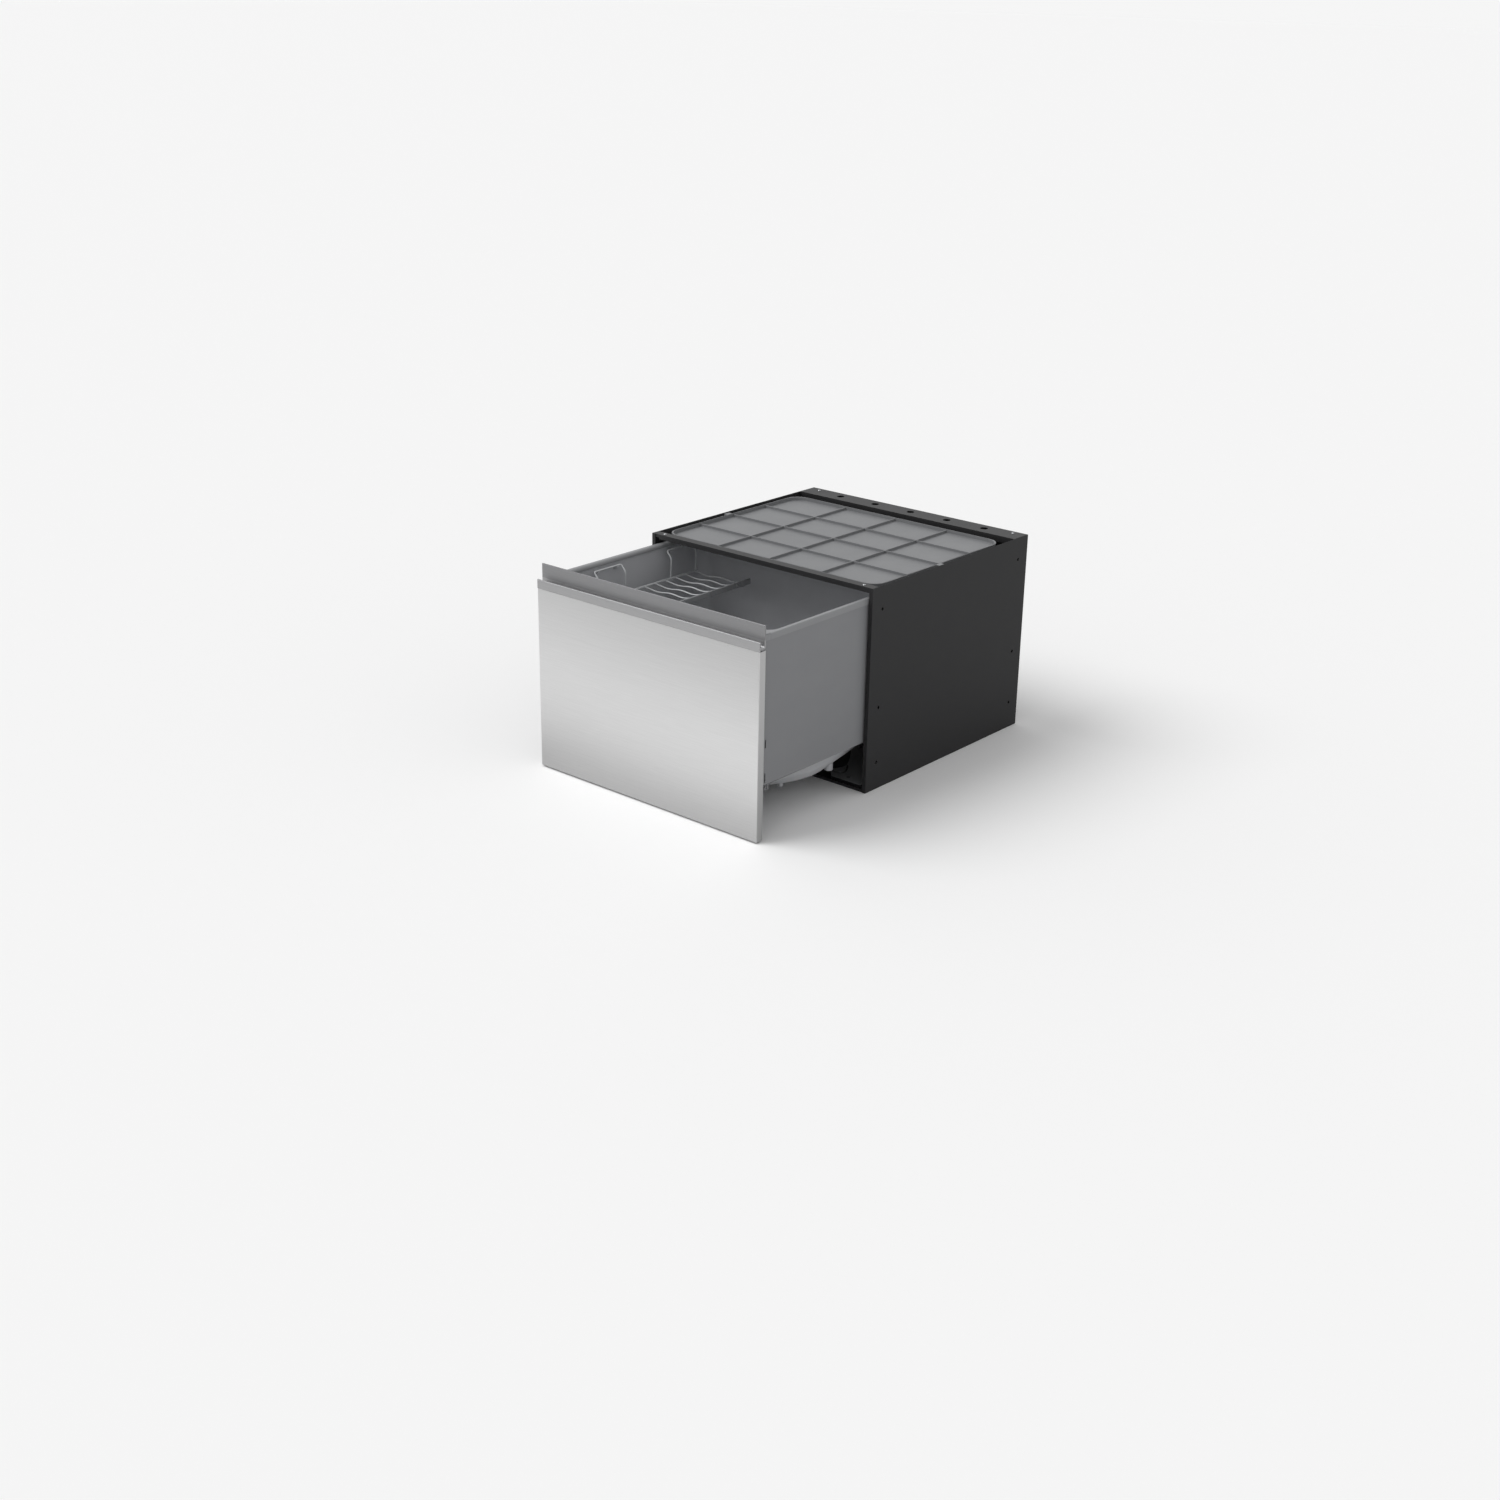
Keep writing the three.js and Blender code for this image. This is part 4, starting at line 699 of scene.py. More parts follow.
def clean_shading(gap: float = 0.002, sharp: float = 32.0) -> Tree:
    """Joins a carried-over node's facets, smooth across shallow edges and crisp at steep ones.

    Args:
        gap: Vertices that lie nearer than this, in millimetres, become one.
        sharp: Edges that turn by more than this many degrees stay crisp.

    Returns:
        The geometry nodes, made once.
    """
    made = bpy.data.node_groups.get("joined facets")
    if made:
        return made
    made = bpy.data.node_groups.new("joined facets", "GeometryNodeTree")
    for way in ("INPUT", "OUTPUT"):
        made.interface.new_socket("Geometry", in_out=way, socket_type="NodeSocketGeometry")
    start = add_node(made, "NodeGroupInput")
    joined = add_node(
        made, "GeometryNodeMergeByDistance", {"Geometry": start.outputs[0], "Distance": gap * MM}
    )
    angle = add_node(made, "GeometryNodeInputMeshEdgeAngle").outputs["Unsigned Angle"]
    steep = add_node(
        made, "FunctionNodeCompare", {0: angle, 1: math.radians(sharp)}, operation="GREATER_THAN"
    )
    inputs = {
        "Mesh": joined.outputs["Geometry"],
        "Remove Custom": True,
        "Edge Sharpness": steep.outputs["Result"],
    }
    shaded = add_node(made, "GeometryNodeSetMeshNormal", inputs)
    add_node(made, "NodeGroupOutput", {0: shaded.outputs["Mesh"]})
    return made


def dress(finish: Finish, edge: float, *names: str) -> None:
    """Gives carried-over CAD nodes a finish and softened edges.

    Args:
        finish: What they are made of.
        edge: The radius in millimetres of their softened edges.
        *names: The nodes.
    """
    for name in names:
        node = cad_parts[name]
        node.data.materials.clear()
        node.data.materials.append(finish.material())
        node.modifiers.new("joined facets", "NODES").node_group = clean_shading()
        soften(node, edge)
    log.info("%s on %s", finish.name, ", ".join(names))


# ---------------------------------------------------------------- the drawer's sub-assemblies


def pan_screw(form: Form, head: Row, direction: Row, radius: float = 3.4) -> None:
    """Adds a pan-head screw with a cross on its head.

    Args:
        form: The mesh that it goes in.
        head: The middle of the head's underside, in millimetres.
        direction: Which way the head faces.
        radius: The head's radius.
    """
    high = radius * 0.55
    profile = [(radius, 0), (radius, high * 0.4), (radius * 0.8, high * 0.85), (radius * 0.42, high)]
    form.turned(profile, head, direction, sides=20)
    turn = Vector(direction).to_track_quat("Z", "Y")
    arm, half, raised = radius * 0.4, radius * 0.09, high + 0.12
    corners = [(arm, half), (-arm, half), (-arm, -half), (arm, -half)]
    for angle in (0, math.pi / 2):
        c, s = math.cos(angle), math.sin(angle)
        bar = [(x * c - y * s, x * s + y * c) for x, y in corners]
        rings = [[Vector(head) + turn @ Vector((*p, h)) for p in bar] for h in (high, raised)]
        form.loft(rings, caps=True)


@dataclass
class Chassis:
    """The steel box that holds the runners and the lid.

    Attributes:
        half_width: Half its width in millimetres.
        half_depth: Half its depth.
        height: Its height.
        insets: How far in from its faces the screws of the lips, the rear edges and the braces sit.
        lip_screws: The heights of the screws in its front lips.
        screw_sunk: How far those heads are let into the lips, to clear the closed drawer.
        rear_screws: The heights of the screws up each rear edge.
        brace_screws: The places along X of the screws along the rear panel's top and bottom.
        top_screws: The places along X and Y of the screws at the right-hand side's top.
        deck: The outline of the right-hand deck's liner, along X and Y; it follows the patch of light that
            lies amid the black shade on the deck.
        tongue: The outline of the tongue that a groove parts from it.
        deck_holes: The holes in the liner: their middles and radii.
        deck_top: The height of the decks.
        liner: How thick the liners are.
    """

    half_width: float = 299.5
    half_depth: float = 277.5
    height: float = 439.0
    insets: Row = (5.2, 12.0, 14.0)
    lip_screws: Row = (40.0, 214.0, 400.0)
    screw_sunk: float = 1.15
    rear_screws: Row = (30.0, 150.0, 270.0, 390.0)
    brace_screws: Row = (-180.0, 0.0, 180.0)
    top_screws: Path = ((270.0, -268.0), (270.0, 262.0))
    deck: Path = (
        (197.0, -260.5), (272.8, -260.5), (272.8, 216.0), (120.5, 216.0), (120.5, -99.0),
        (132.6, -112.1), (148.5, -131.9), (164.7, -155.7), (177.5, -177.3), (184.0, -190.5), (188.4, -190.5),
        (200.4, -208.6), (207.4, -221.4), (208.4, -233.8), (191.8, -238.0), (181.0, -241.6),
    )
    tongue: Path = (
        (185.0, -195.0), (185.3, -205.0), (180.9, -217.7), (172.3, -228.2), (178.6, -237.3),
        (191.0, -233.7), (203.9, -230.8), (203.3, -222.4), (196.8, -210.6), (187.2, -195.0),
    )
    deck_holes: Path = (
        (228.6, -242.2, 4.5), (242.0, -27.5, 6.0), (242.0, 152.5, 6.0), (152.0, 52.5, 9.0),
    )
    deck_top: float = 6.2
    liner: float = 1.0

    def build(self) -> None:
        """Dresses the panels, lines the decks and adds the screws."""
        dress(BLACK_COAT, 0.6, "side_panel_left", "side_panel_right", "rear_panel")
        dress(BLACK_COAT, 0.5, "base_pan", "top_front_brace")
        dress(BLACK_ZINC, 0.3, "runner_shelf_left", "runner_shelf_right")
        dress(DARK_PLASTIC, 0.8, "lid_actuator_left", "lid_actuator_right", "terminal_box")
        dress(DARK_PLASTIC, 0.4, "drain_connector")
        dress(PALE_PLASTIC, 0.6, "inlet_valve")
        self.build_liners()
        self.build_screws()

    def build_screws(self) -> None:
        """Builds the black screws of the front lips and the bright ones at the back and top."""
        back, up, front = (0, 1, 0), (0, 0, 1), (0, -1, 0)
        lips, screws = Form(), Form()
        lip, rear, brace = self.insets
        for s in (-1, 1):
            for z in self.lip_screws:
                head = (s * (self.half_width - lip), self.screw_sunk - self.half_depth, z)
                pan_screw(lips, head, front, radius=2.6)
            for z in self.rear_screws:
                pan_screw(screws, (s * (self.half_width - rear), self.half_depth, z), back)
            for x, y in self.top_screws:
                pan_screw(screws, (s * x, y, self.height), up)
        for x in self.brace_screws:
            for z in (brace, self.height - brace):
                pan_screw(screws, (x, self.half_depth, z), back)
        lips.finish("front_lip_screws", BLACK_COAT, Body.CHASSIS)
        screws.finish("chassis_screws", ZINC_FIXING, Body.CHASSIS)

    def build_liners(self) -> None:
        """Builds the moulded liners of the base pan's two raised decks: lighter than the pan and shaped like
        the lit patch there, partly a moulding's own colour and partly a painted pool of light.
        """
        form = Form()
        low, high = self.deck_top, self.deck_top + self.liner
        for s in (-1, 1):
            holes = [(s * x, y, r) for x, y, r in self.deck_holes]
            for outline, reach, pierced in ((self.deck, 4.0, holes), (self.tongue, 3.0, [])):
                shape = eased(outline, reach, closed=True)
                form.plate([(s * x, y) for x, y in shape], pierced, low, high)
        form.finish("deck_liners_painted_light", LINER_PLASTIC_PAINTED_LIGHT, Body.CHASSIS, edge=0.3)


@dataclass
class Lid:
    """The ribbed cover that comes down on the tub's rim."""

    def build(self) -> None:
        """Dresses the cover, its seal and its plungers."""
        dress(LID_PLASTIC, 0.7, "lid")
        dress(EPDM, 0.4, "lid_seal")
        dress(PALE_PLASTIC, 0.5, "lid_plunger_left", "lid_plunger_right")


@dataclass
class Runners:
    """The telescopic runners and the rails that carry the tub.

    Attributes:
        centre: The height of the runners' middle, in millimetres.
        sheet: The thickness of their steel.
        middle: The middle member's web, its lips, half its height, its front and its rear end.
        inner: The same for the inner member.
    """

    centre: float = 121.3
    sheet: float = 1.2
    middle: Row = (282.2, 275.8, 14.6, -410.0, 70.0)
    inner: Row = (272.0, 277.4, 10.4, -582.5, -82.5)

    def build(self) -> None:
        """Dresses the outer members and the rails, and rolls the members that slide."""
        for side, s in (("left", -1), ("right", 1)):
            dress(ZINC, 0.25, f"runner_outer_{side}", f"support_rail_{side}")
            body = Body.MIDDLE_LEFT if s < 0 else Body.MIDDLE_RIGHT
            self.roll(f"middle_{side}", self.middle, s, body)
            self.roll(f"inner_{side}", self.inner, s, Body.DRAWER)

    def roll(self, name: str, member: Row, s: int, body: Body) -> None:
        """Rolls one member: a web with two lips that run over the balls.

        Args:
            name: Which member it is.
            member: Its web, lips, half height, front and rear end.
            s: 1 on the right, -1 on the left.
            body: What it moves with.
        """
        web, lip, half, front, rear = member
        thin = half - self.sheet
        inside = web + self.sheet * (1 if lip > web else -1)
        outer = eased([(lip, half), (web, half), (web, -half), (lip, -half)], 2.6)
        inner = eased([(lip, -thin), (inside, -thin), (inside, thin), (lip, thin)], 1.6)
        form = Form()
        section = [(s * p[0], self.centre + p[1]) for p in outer + inner]
        form.prism(section, "Y", front, rear)
        form.finish(f"runner_{name}_rolled", ZINC, body, [f"runner_{name}"])


@dataclass
class Tub:
    """The moulded tub, its rim frame and its side skins.

    Attributes:
        half_width: From the middle to the inner wall at the rim, in millimetres.
        half_depth: The same, front to back.
        centre: The tub's middle along Y.
        corner: The radius of its corners.
        wall: Its thickness.
        draft: How far its walls lean in by the ledge.
        top: The top of the moulding.
        ledge: The height of the ledge that the basket rests on.
        ledge_width: How wide that is.
        bowl_top: Where the floor starts to dish.
        bowl_bottom: The underside of the dish.
        sump: The radius of the opening in the floor.
        rim_top: The top of the rim frame.
        rim_width: How wide the rim frame is.
        rim_band: How far its outer band hangs down.
        rim_inner: How far its inner lip hangs down.
        rim_sheet: Its thickness.
        rim_corner: The radius of its outer corners; the inner ones follow the tub's.
        rim_roll: The radius at which its inner edge rolls over.
        shelf: The outline along X and Z of a shelf that a wire hanger stands on.
        shelves: The shelves' places along Y.
        boss: The bosses under the ledge: how wide, how high, where they start and how far out they go.
        spigots: The middle and radius of each spigot in the floor.
    """

    half_width: float = 278.0
    half_depth: float = 216.0
    centre: float = -351.5
    corner: float = 34.0
    wall: float = 4.0
    draft: float = 3.0
    top: float = 413.0
    ledge: float = 158.0
    ledge_width: float = 17.0
    bowl_top: float = 100.0
    bowl_bottom: float = 41.0
    sump: float = 80.0
    rim_top: float = 417.0
    rim_width: float = 13.5
    rim_band: float = 12.4
    rim_inner: float = 8.5
    rim_sheet: float = 1.2
    rim_corner: float = 2.6
    rim_roll: float = 7.0
    shelf: Path = ((-279.0, 399.6), (-267.0, 399.6), (-267.0, 398.1), (-279.0, 393.6))
    shelves: Row = (-473.5, -416.5, -250.5, -194.5)
    boss: Row = (32.0, 24.0, 109.3, 270.1)
    spigots: Path = ((231.0, -314.5, 9.0), (214.0, -448.5, 5.0))

    def profile(self, grow: float) -> list[Vector]:
        """The tub's wall from top to bottom.

        Args:
            grow: The wall's thickness for its outer face, 0 for its inner one.

        Returns:
            Half width, half depth, corner, height, roundness and shift along Y of each ring.
        """
        w, d, c = self.half_width + grow, self.half_depth + grow, self.corner + grow
        low = self.half_width - self.draft - self.ledge_width + grow
        floor = self.bowl_bottom + self.wall - grow
        deep = d - self.draft
        steps = [
            (w, d, c, self.top, 0, 0),
            (w - self.draft, deep, c, self.ledge - grow, 0, 0),
            (low, deep, c, self.ledge - grow, 0, 0),
            (low - 2, deep - 1, c, self.bowl_top - grow, 0, 0),
            (low - 7, d - 9, c + 4, self.bowl_top - 22 - grow, 0.5, -8.5),
            (low - 20, d - 26, c + 18, self.bowl_top - 40 - grow, 1, -28.5),
            (low - 58, d - 66, c + 40, floor + 11, 1, -23.5),
            (low - 108, d - 98, 90, floor + 3, 1, -8.5),
            (self.sump, self.sump, self.sump - 1, floor, 1, 0),
        ]
        return eased(steps, 3.5, 3)

    def rings(self, grow: float) -> list[list[Vector]]:
        """The rings of one face of the wall, top to bottom."""
        return [
            rounded_ring(w, d, c, z, self.centre + shift, roundness)
            for w, d, c, z, roundness, shift in self.profile(grow)
        ]

    def build(self) -> None:
        """Builds the tub and its rim, and dresses the skins."""
        self.build_tub()
        self.build_rim()
        dress(SKIN_PLASTIC, 0.6, "side_skin_left", "side_skin_right")

    def build_tub(self) -> None:
        """Builds the tub with its wire shelves, bosses and spigots."""
        form = Form()
        form.loft(self.rings(self.wall) + self.rings(0)[::-1], closed=True)
        for y in self.shelves:
            form.prism(self.shelf, "Y", y - 3.5, y + 3.5)
        wide, high, low, out = self.boss
        ledge_in = self.half_width - self.draft - self.ledge_width
        reach = self.half_depth - 50
        for s in (-1, 1):
            x0, x1 = sorted((s * (ledge_in + 1), s * out))
            for y in (self.centre - reach, self.centre, self.centre + reach):
                form.block((x0, y - wide / 2, low), (x1, y + wide / 2, low + high))
        for x, y, radius in self.spigots:
            form.turned([(radius - 1, 46), (radius, 47), (radius, 62)], (x, y, 0), sides=24)
        form.finish("tub_moulding", TUB_PLASTIC, Body.DRAWER, ["tub"])

    def build_rim(self) -> None:
        """Builds the frame that caps the tub's edge."""
        w, d = self.half_width - 3 + self.rim_width, self.half_depth - 3 + self.rim_width
        top, sheet, width = self.rim_top, self.rim_sheet, self.rim_width
        roll, flat = self.rim_roll, width - self.rim_roll
        turn = [math.radians(a) for a in range(0, 91, 10)]
        outer = [(flat + roll * math.sin(a), top - roll * (1 - math.cos(a))) for a in turn]
        thin = roll - sheet
        inner = [(flat + thin * math.sin(a), top - roll + thin * math.cos(a)) for a in turn]
        soft = eased([(0, top - self.rim_band), (0, top), outer[0]], 2.4)[:-1]
        soft += outer + [(width, top - self.rim_inner), (width - sheet, top - self.rim_inner)]
        soft += inner[::-1]
        soft += eased([inner[0], (sheet, top - sheet), (sheet, top - self.rim_band)], 1.4)[1:]
        slope = (self.corner - self.rim_corner) / width
        rings = [rounded_ring(w - i, d - i, self.rim_corner + slope * i, z, self.centre) for i, z in soft]
        form = Form()
        form.loft(rings, closed=True)
        form.finish("rim_frame_moulding", RIM_PLASTIC, Body.DRAWER, ["rim_frame"])


@dataclass
class Front:
    """The stainless front with its finger channel, and the controls behind it.

    Attributes:
        buttons: The buttons' names, from left to right.
        button_start: The first button's place along X, in millimetres.
        button_pitch: From one button to the next.
        button_y: The buttons' place along Y.
        lamp_gap: How far the lamps lie behind the buttons' middles.
        strip_top: The top of the control strip.
        plug: The end plugs' corners: how far from the middle, and the places along Y and Z.
        screws: The places along X of the backing's screws.
        screw_rows: The heights of their two rows.
        backing_y: The back of the panel's backing.
    """

    buttons: tuple[str, ...] = ("power", "start", "programme", "delay", "lock")
    button_start: float = 60.0
    button_pitch: float = 34.0
    button_y: float = -589.75
    lamp_gap: float = 6.4
    strip_top: float = 419.0
    plug: tuple[Row, Row] = ((288.3, -599.4, 404.7), (286.1, -577.6, 416.9))
    screws: Row = (-250.0, -120.0, 120.0, 250.0)
    screw_rows: Row = (40.0, 190.0)
    backing_y: float = -601.5

    def build(self) -> None:
        """Dresses the front and the controls, and adds lamps and screws."""
        dress(PANEL_STEEL, 0.35, "front_panel")
        dress(HANDLE_STEEL, 0.25, "handle_channel")
        dress(ZINC, 0.3, "panel_backing")
        dress(RIM_PLASTIC, 0.5, "control_strip")
        dress(PALE_PLASTIC, 0.6, "control_module")
        dress(DARK_PLASTIC, 0.5, *(f"button_{name}" for name in self.buttons))
        ends = Form()
        (far, y0, z0), (near, y1, z1) = self.plug
        for s in (-1, 1):
            x0, x1 = sorted((s * far, s * near))
            ends.block((x0, y0, z0), (x1, y1, z1))
        ends.finish("strip_end_plugs", RIM_PLASTIC, Body.DRAWER, edge=0.2)
        lamps = Form()
        for i in range(len(self.buttons)):
            x, y = self.button_start + i * self.button_pitch, self.button_y + self.lamp_gap
            lamps.turned([(0.9, 0), (0.9, 0.15), (0.5, 0.3)], (x, y, self.strip_top), sides=14)
        lamps.finish("status_lamps", PALE_PLASTIC, Body.DRAWER)
        screws = Form()
        for x in self.screws:
            for z in self.screw_rows:
                pan_screw(screws, (x, self.backing_y, z), (0, 1, 0))
        screws.finish("backing_screws", ZINC_FIXING, Body.DRAWER)


@dataclass
class WashSystem:
    """The sump, motor, filters and spray arm under the basket, and the detergent dispenser.

    Attributes:
        centre: The spindle's place along Y, in millimetres.
        turn: How far in radians the arm is turned at rest.
        bottom: The underside of the arm's hub.
        height: How thick the arm is.
        reach: From the spindle to the arm's tip.
        tip: The radius of the tip.
        lag: How far the tip's middle lies behind the spindle's.
        nozzles: The nozzles' distances from the spindle.
        hub: The hub's radius.
        hub_foot: The height at which the hub starts.
    """

    centre: float = -351.5
    turn: float = 0.5
    bottom: float = 70.0
    height: float = 12.0
    reach: float = 178.0
    tip: float = 13.0
    lag: float = 4.0
    nozzles: Row = (60.0, 95.0, 130.0, 160.0)
    hub: float = 29.0
    hub_foot: float = 51.2

    def build(self) -> None:
        """Dresses the sump and filters, and builds the arm."""
        dress(DARK_PLASTIC, 0.4, "sump_housing", "drain_pump")
        dress(DARK_PLASTIC, 0.3, "drain_filter")
        dress(MOTOR_CASTING, 0.4, "wash_motor")
        dress(FILTER_STEEL, 0.2, "filter_plate")
        dress(TUB_PLASTIC, 0.7, "dispenser_body")
        dress(RIM_PLASTIC, 0.6, "dispenser_lid")
        self.build_arm()

    def blade(self) -> list[Row]:
        """One blade's outline, from the spindle to its tip and back."""
        end = self.reach - self.tip
        lower = [(0, -22), (60, -24), (120, -16), (end + 1, -self.lag - self.tip)]
        upper = [(end, self.tip - self.lag), (110, 12), (60, 24), (0, 22)]
        turns = [math.radians(d) for d in range(-90, 91, 15)]
        tip = [(end + self.tip * math.cos(a), -self.lag + self.tip * math.sin(a)) for a in turns]

        def curve(points: Path) -> list[Row]:
            """Points along a cubic curve."""
            found = []
            for i in range(13):
                t, u = i / 12, 1 - i / 12
                weights = (u**3, 3 * u * u * t, 3 * u * t * t, t**3)
                found.append([sum(w * p[k] for w, p in zip(weights, points)) for k in (0, 1)])
            return found

        return curve(lower)[:-1] + tip + curve(upper)[1:]

    def build_arm(self) -> None:
        """Builds the arm, its hub and its nozzles as one moulding."""
        form = Form()
        low, high = self.bottom + 1.5, self.bottom + self.height - 1.5
        edge = [(2.5, low), (0.6, low + 1), (0, low + 2.6)]
        edge += [(0, high - 3.6), (0.8, high - 1.2), (3.2, high)]
        nozzle = [(4.2, 0), (3.6, 2.2), (3.0, 3.0), (1.6, 3.0), (1.3, 1.6)]
        for flip in (0, math.pi):
            c, s = math.cos(self.turn + flip), math.sin(self.turn + flip)

            def place(x: float, y: float, z: float) -> Vector:
                """A point of the blade, in the row's frame."""
                return Vector((x * c - y * s, self.centre + x * s + y * c, z))

            rings = []
            for inset, z in edge:
                ring = []
                for x, y in self.blade():
                    middle = Vector((min(x, self.reach - self.tip), -self.lag * x / self.reach))
                    away = Vector((x, y)) - middle
                    near = middle + away * max(0.0, 1 - inset / max(away.length, 0.1))
                    ring.append(place(near.x, near.y, z))
                rings.append(ring)
            form.loft(rings, caps=True)
            for out in self.nozzles:
                form.turned(nozzle, place(out, -self.lag * out / self.reach, high - 1), sides=18)
        hub, top = self.hub, self.bottom + self.height
        profile = [(hub - 11, self.hub_foot), (hub - 10, self.hub_foot), (hub - 8, self.bottom)]
        profile += [(hub, self.bottom + 3), (hub, top - 3), (hub - 1, top - 0.6)]
        profile += [(hub - 4, top + 1.6), (hub - 9, top + 2), (hub - 12, top + 0.8), (6, top + 0.8)]
        form.turned(profile, (0, self.centre, 0), sides=48)
        form.finish("spray_arm_moulding", ARM_PLASTIC, Body.SPRAY_ARM, ["spray_arm"])


@dataclass
class Racks:
    """The wire basket with its tines, and the cup rack on its hangers.

    Attributes:
        centre: The basket's middle along Y, in millimetres.
        half_width: From the middle to the side rails.
        half_depth: From the middle to the end rails.
        rail_height: The rails' place along Z.
        rail: The rails' thickness.
        wire: The wires' thickness.
        side: From the middle to the upright wires.
        foot: How far in from those the cross wires lie flat.
        floor: The cross wires' height.
        crosses: How many cross wires there are.
        longs: How many long wires there are.
        tine: The tines' thickness.
        tine_height: How far they stand above their rod.
        tine_count: How many there are in a row.
        tine_pitch: From one tine to the next.
        fixed: The places along X of the rows that stand still, by name.
        folding: The places along X of the rows that fold, by name.
        clips: Which cross wires carry the folding rows' clips.
        fixed_axis: The height of the fixed rows' rods.
        fold_axis: The height of the folding rows' rods.
        seat: The radius of a clip's seat for such a rod.
        leg: A hanger's leg, along X and Z.
        hangers: The places along Y of each hanger's two legs, by name.
        cup_ends: Where the cup rack starts and ends along Y.
        cup_wire: A cross wire of the cup rack, from its hinge rod to its edge rod, along X and Z.
        cup_wires: How many of those there are.
    """

    centre: float = -351.5
    half_width: float = 266.0
    half_depth: float = 203.0
    rail_height: float = 160.8
    rail: float = 5.0
    wire: float = 3.6
    side: float = 250.0
    foot: float = 16.0
    floor: float = 92.0
    crosses: int = 9
    longs: int = 6
    tine: float = 3.4
    tine_height: float = 82.0
    tine_count: int = 10
    tine_pitch: float = 36.0
    fixed: tuple[tuple[str, float], ...] = (("left", -205.0), ("middle", -125.0), ("centre", -45.0))
    folding: tuple[tuple[str, float], ...] = (("inner", 105.0), ("outer", 205.0))
    clips: tuple[int, ...] = (1, 4, 7)
    fixed_axis: float = 95.8
    fold_axis: float = 98.2
    seat: float = 2.05
    leg: Path = ((-252.0, 339.5), (-258.5, 339.5), (-258.5, 352.0), (-256.5, 387.5), (-270.0, 401.7))
    hangers: tuple[tuple[str, Row], ...] = (("front", (-485.5, -404.5)), ("rear", (-262.5, -182.5)))
    cup_ends: Row = (-488.5, -179.5)
    cup_wire: Path = ((-254.0, 344.0), (-214.0, 339.0), (-178.0, 345.0), (-142.0, 341.0), (-108.0, 350.0))
    cup_wires: int = 10

    def cross_y(self, i: int) -> float:
        """One cross wire's place along Y."""
        reach = self.half_depth - 22
        return self.centre - reach + 2 * reach * i / (self.crosses - 1)

    def build(self) -> None:
        """Builds every wire piece."""
        self.build_basket()
        for name, x in self.fixed:
            self.build_row(f"fixed_tines_{name}", x, self.fixed_axis, Body.DRAWER)
        for (name, x), body in zip(self.folding, (Body.TINES_INNER, Body.TINES_OUTER)):
            self.build_row(f"folding_tines_{name}", x, self.fold_axis, body)
        for name, span in self.hangers:
            self.build_hanger(f"rack_hanger_{name}", span)
        self.build_cup_rack()

    def build_basket(self) -> None:
        """Builds the basket: rail, cross wires, long wires and the folding rows' clips."""
        form = Form()
        rail = rounded_ring(self.half_width, self.half_depth, 26, self.rail_height, self.centre, steps=8)
        form.wire(rail, self.rail, closed=True)
        for i in range(self.crosses):
            y = self.cross_y(i)
            half = [
                (self.half_width, y, self.rail_height),
                (self.side, y, self.rail_height),
                (self.side, y, self.floor + 14),
                (self.side - self.foot, y, self.floor),
            ]
            path = half + [(-x, y, z) for x, y, z in reversed(half)]
            form.wire(eased(path, 6), self.wire)
        for i in range(self.longs):
            x = (self.side - 34) * (2 * i / (self.longs - 1) - 1)
            z = self.floor - self.wire * 0.75
            half = [
                (x, self.half_depth, self.rail_height),
                (x, self.half_depth - 3, self.floor + 12),
                (x, self.half_depth - 14, z),
            ]
            path = half + [(x, -y, z) for x, y, z in reversed(half)]
            form.wire(eased([(x, y + self.centre, z) for x, y, z in path], 8), self.wire)
        sides = ["base_rack", "rack_side_left", "rack_side_right", "rack_end_front", "rack_end_rear"]
        form.finish("basket_wires", WIRE_COAT, Body.DRAWER, sides, sharp=60)
        clips = Form()
        low, turns = self.floor - 1.6, [math.radians(d) for d in range(0, -181, -20)]
        seat = [(self.seat * math.cos(a), self.fold_axis + self.seat * math.sin(a)) for a in turns]
        outline = [(-5, low), (5, low), (5, self.fold_axis), *seat, (-5, self.fold_axis)]
        for _, x in self.folding:
            for i in self.clips:
                y = self.cross_y(i)
                clips.prism([(x + u, v) for u, v in outline], "Y", y - 4, y + 4)
        clips.finish("tine_clips", RIM_PLASTIC, Body.DRAWER)

    def build_row(self, name: str, x: float, z: float, body: Body) -> None:
        """Builds a row of tines on its floor rod.

        Args:
            name: The CAD node that it stands for.
            x: The row's place along X.
            z: The rod's height.
            body: What it moves with.
        """
        form = Form()
        ends = (self.cross_y(0) - 5, self.cross_y(self.crosses - 1) + 5)
        form.wire([(x, y, z) for y in ends], self.tine)
        start = self.centre - self.tine_pitch * (self.tine_count - 1) / 2
        for i in range(self.tine_count):
            y = start + i * self.tine_pitch
            form.wire([(x, y, z), (x, y, z + self.tine_height)], self.tine)
        form.finish(f"{name}_wires", WIRE_COAT, body, [name], sharp=60)

    def build_hanger(self, name: str, span: Row) -> None:
        """Builds a wire hanger that hooks round the cup rack's hinge.

        Args:
            name: The CAD node that it stands for.
            span: Its two legs' places along Y.
        """
        path = [(x, span[0], z) for x, z in self.leg] + [(x, span[1], z) for x, z in reversed(self.leg)]
        form = Form()
        form.wire(eased(path, 6, 5), self.wire, sides=14)
        form.finish(f"{name}_wire", WIRE_COAT, Body.DRAWER, [name], sharp=60)

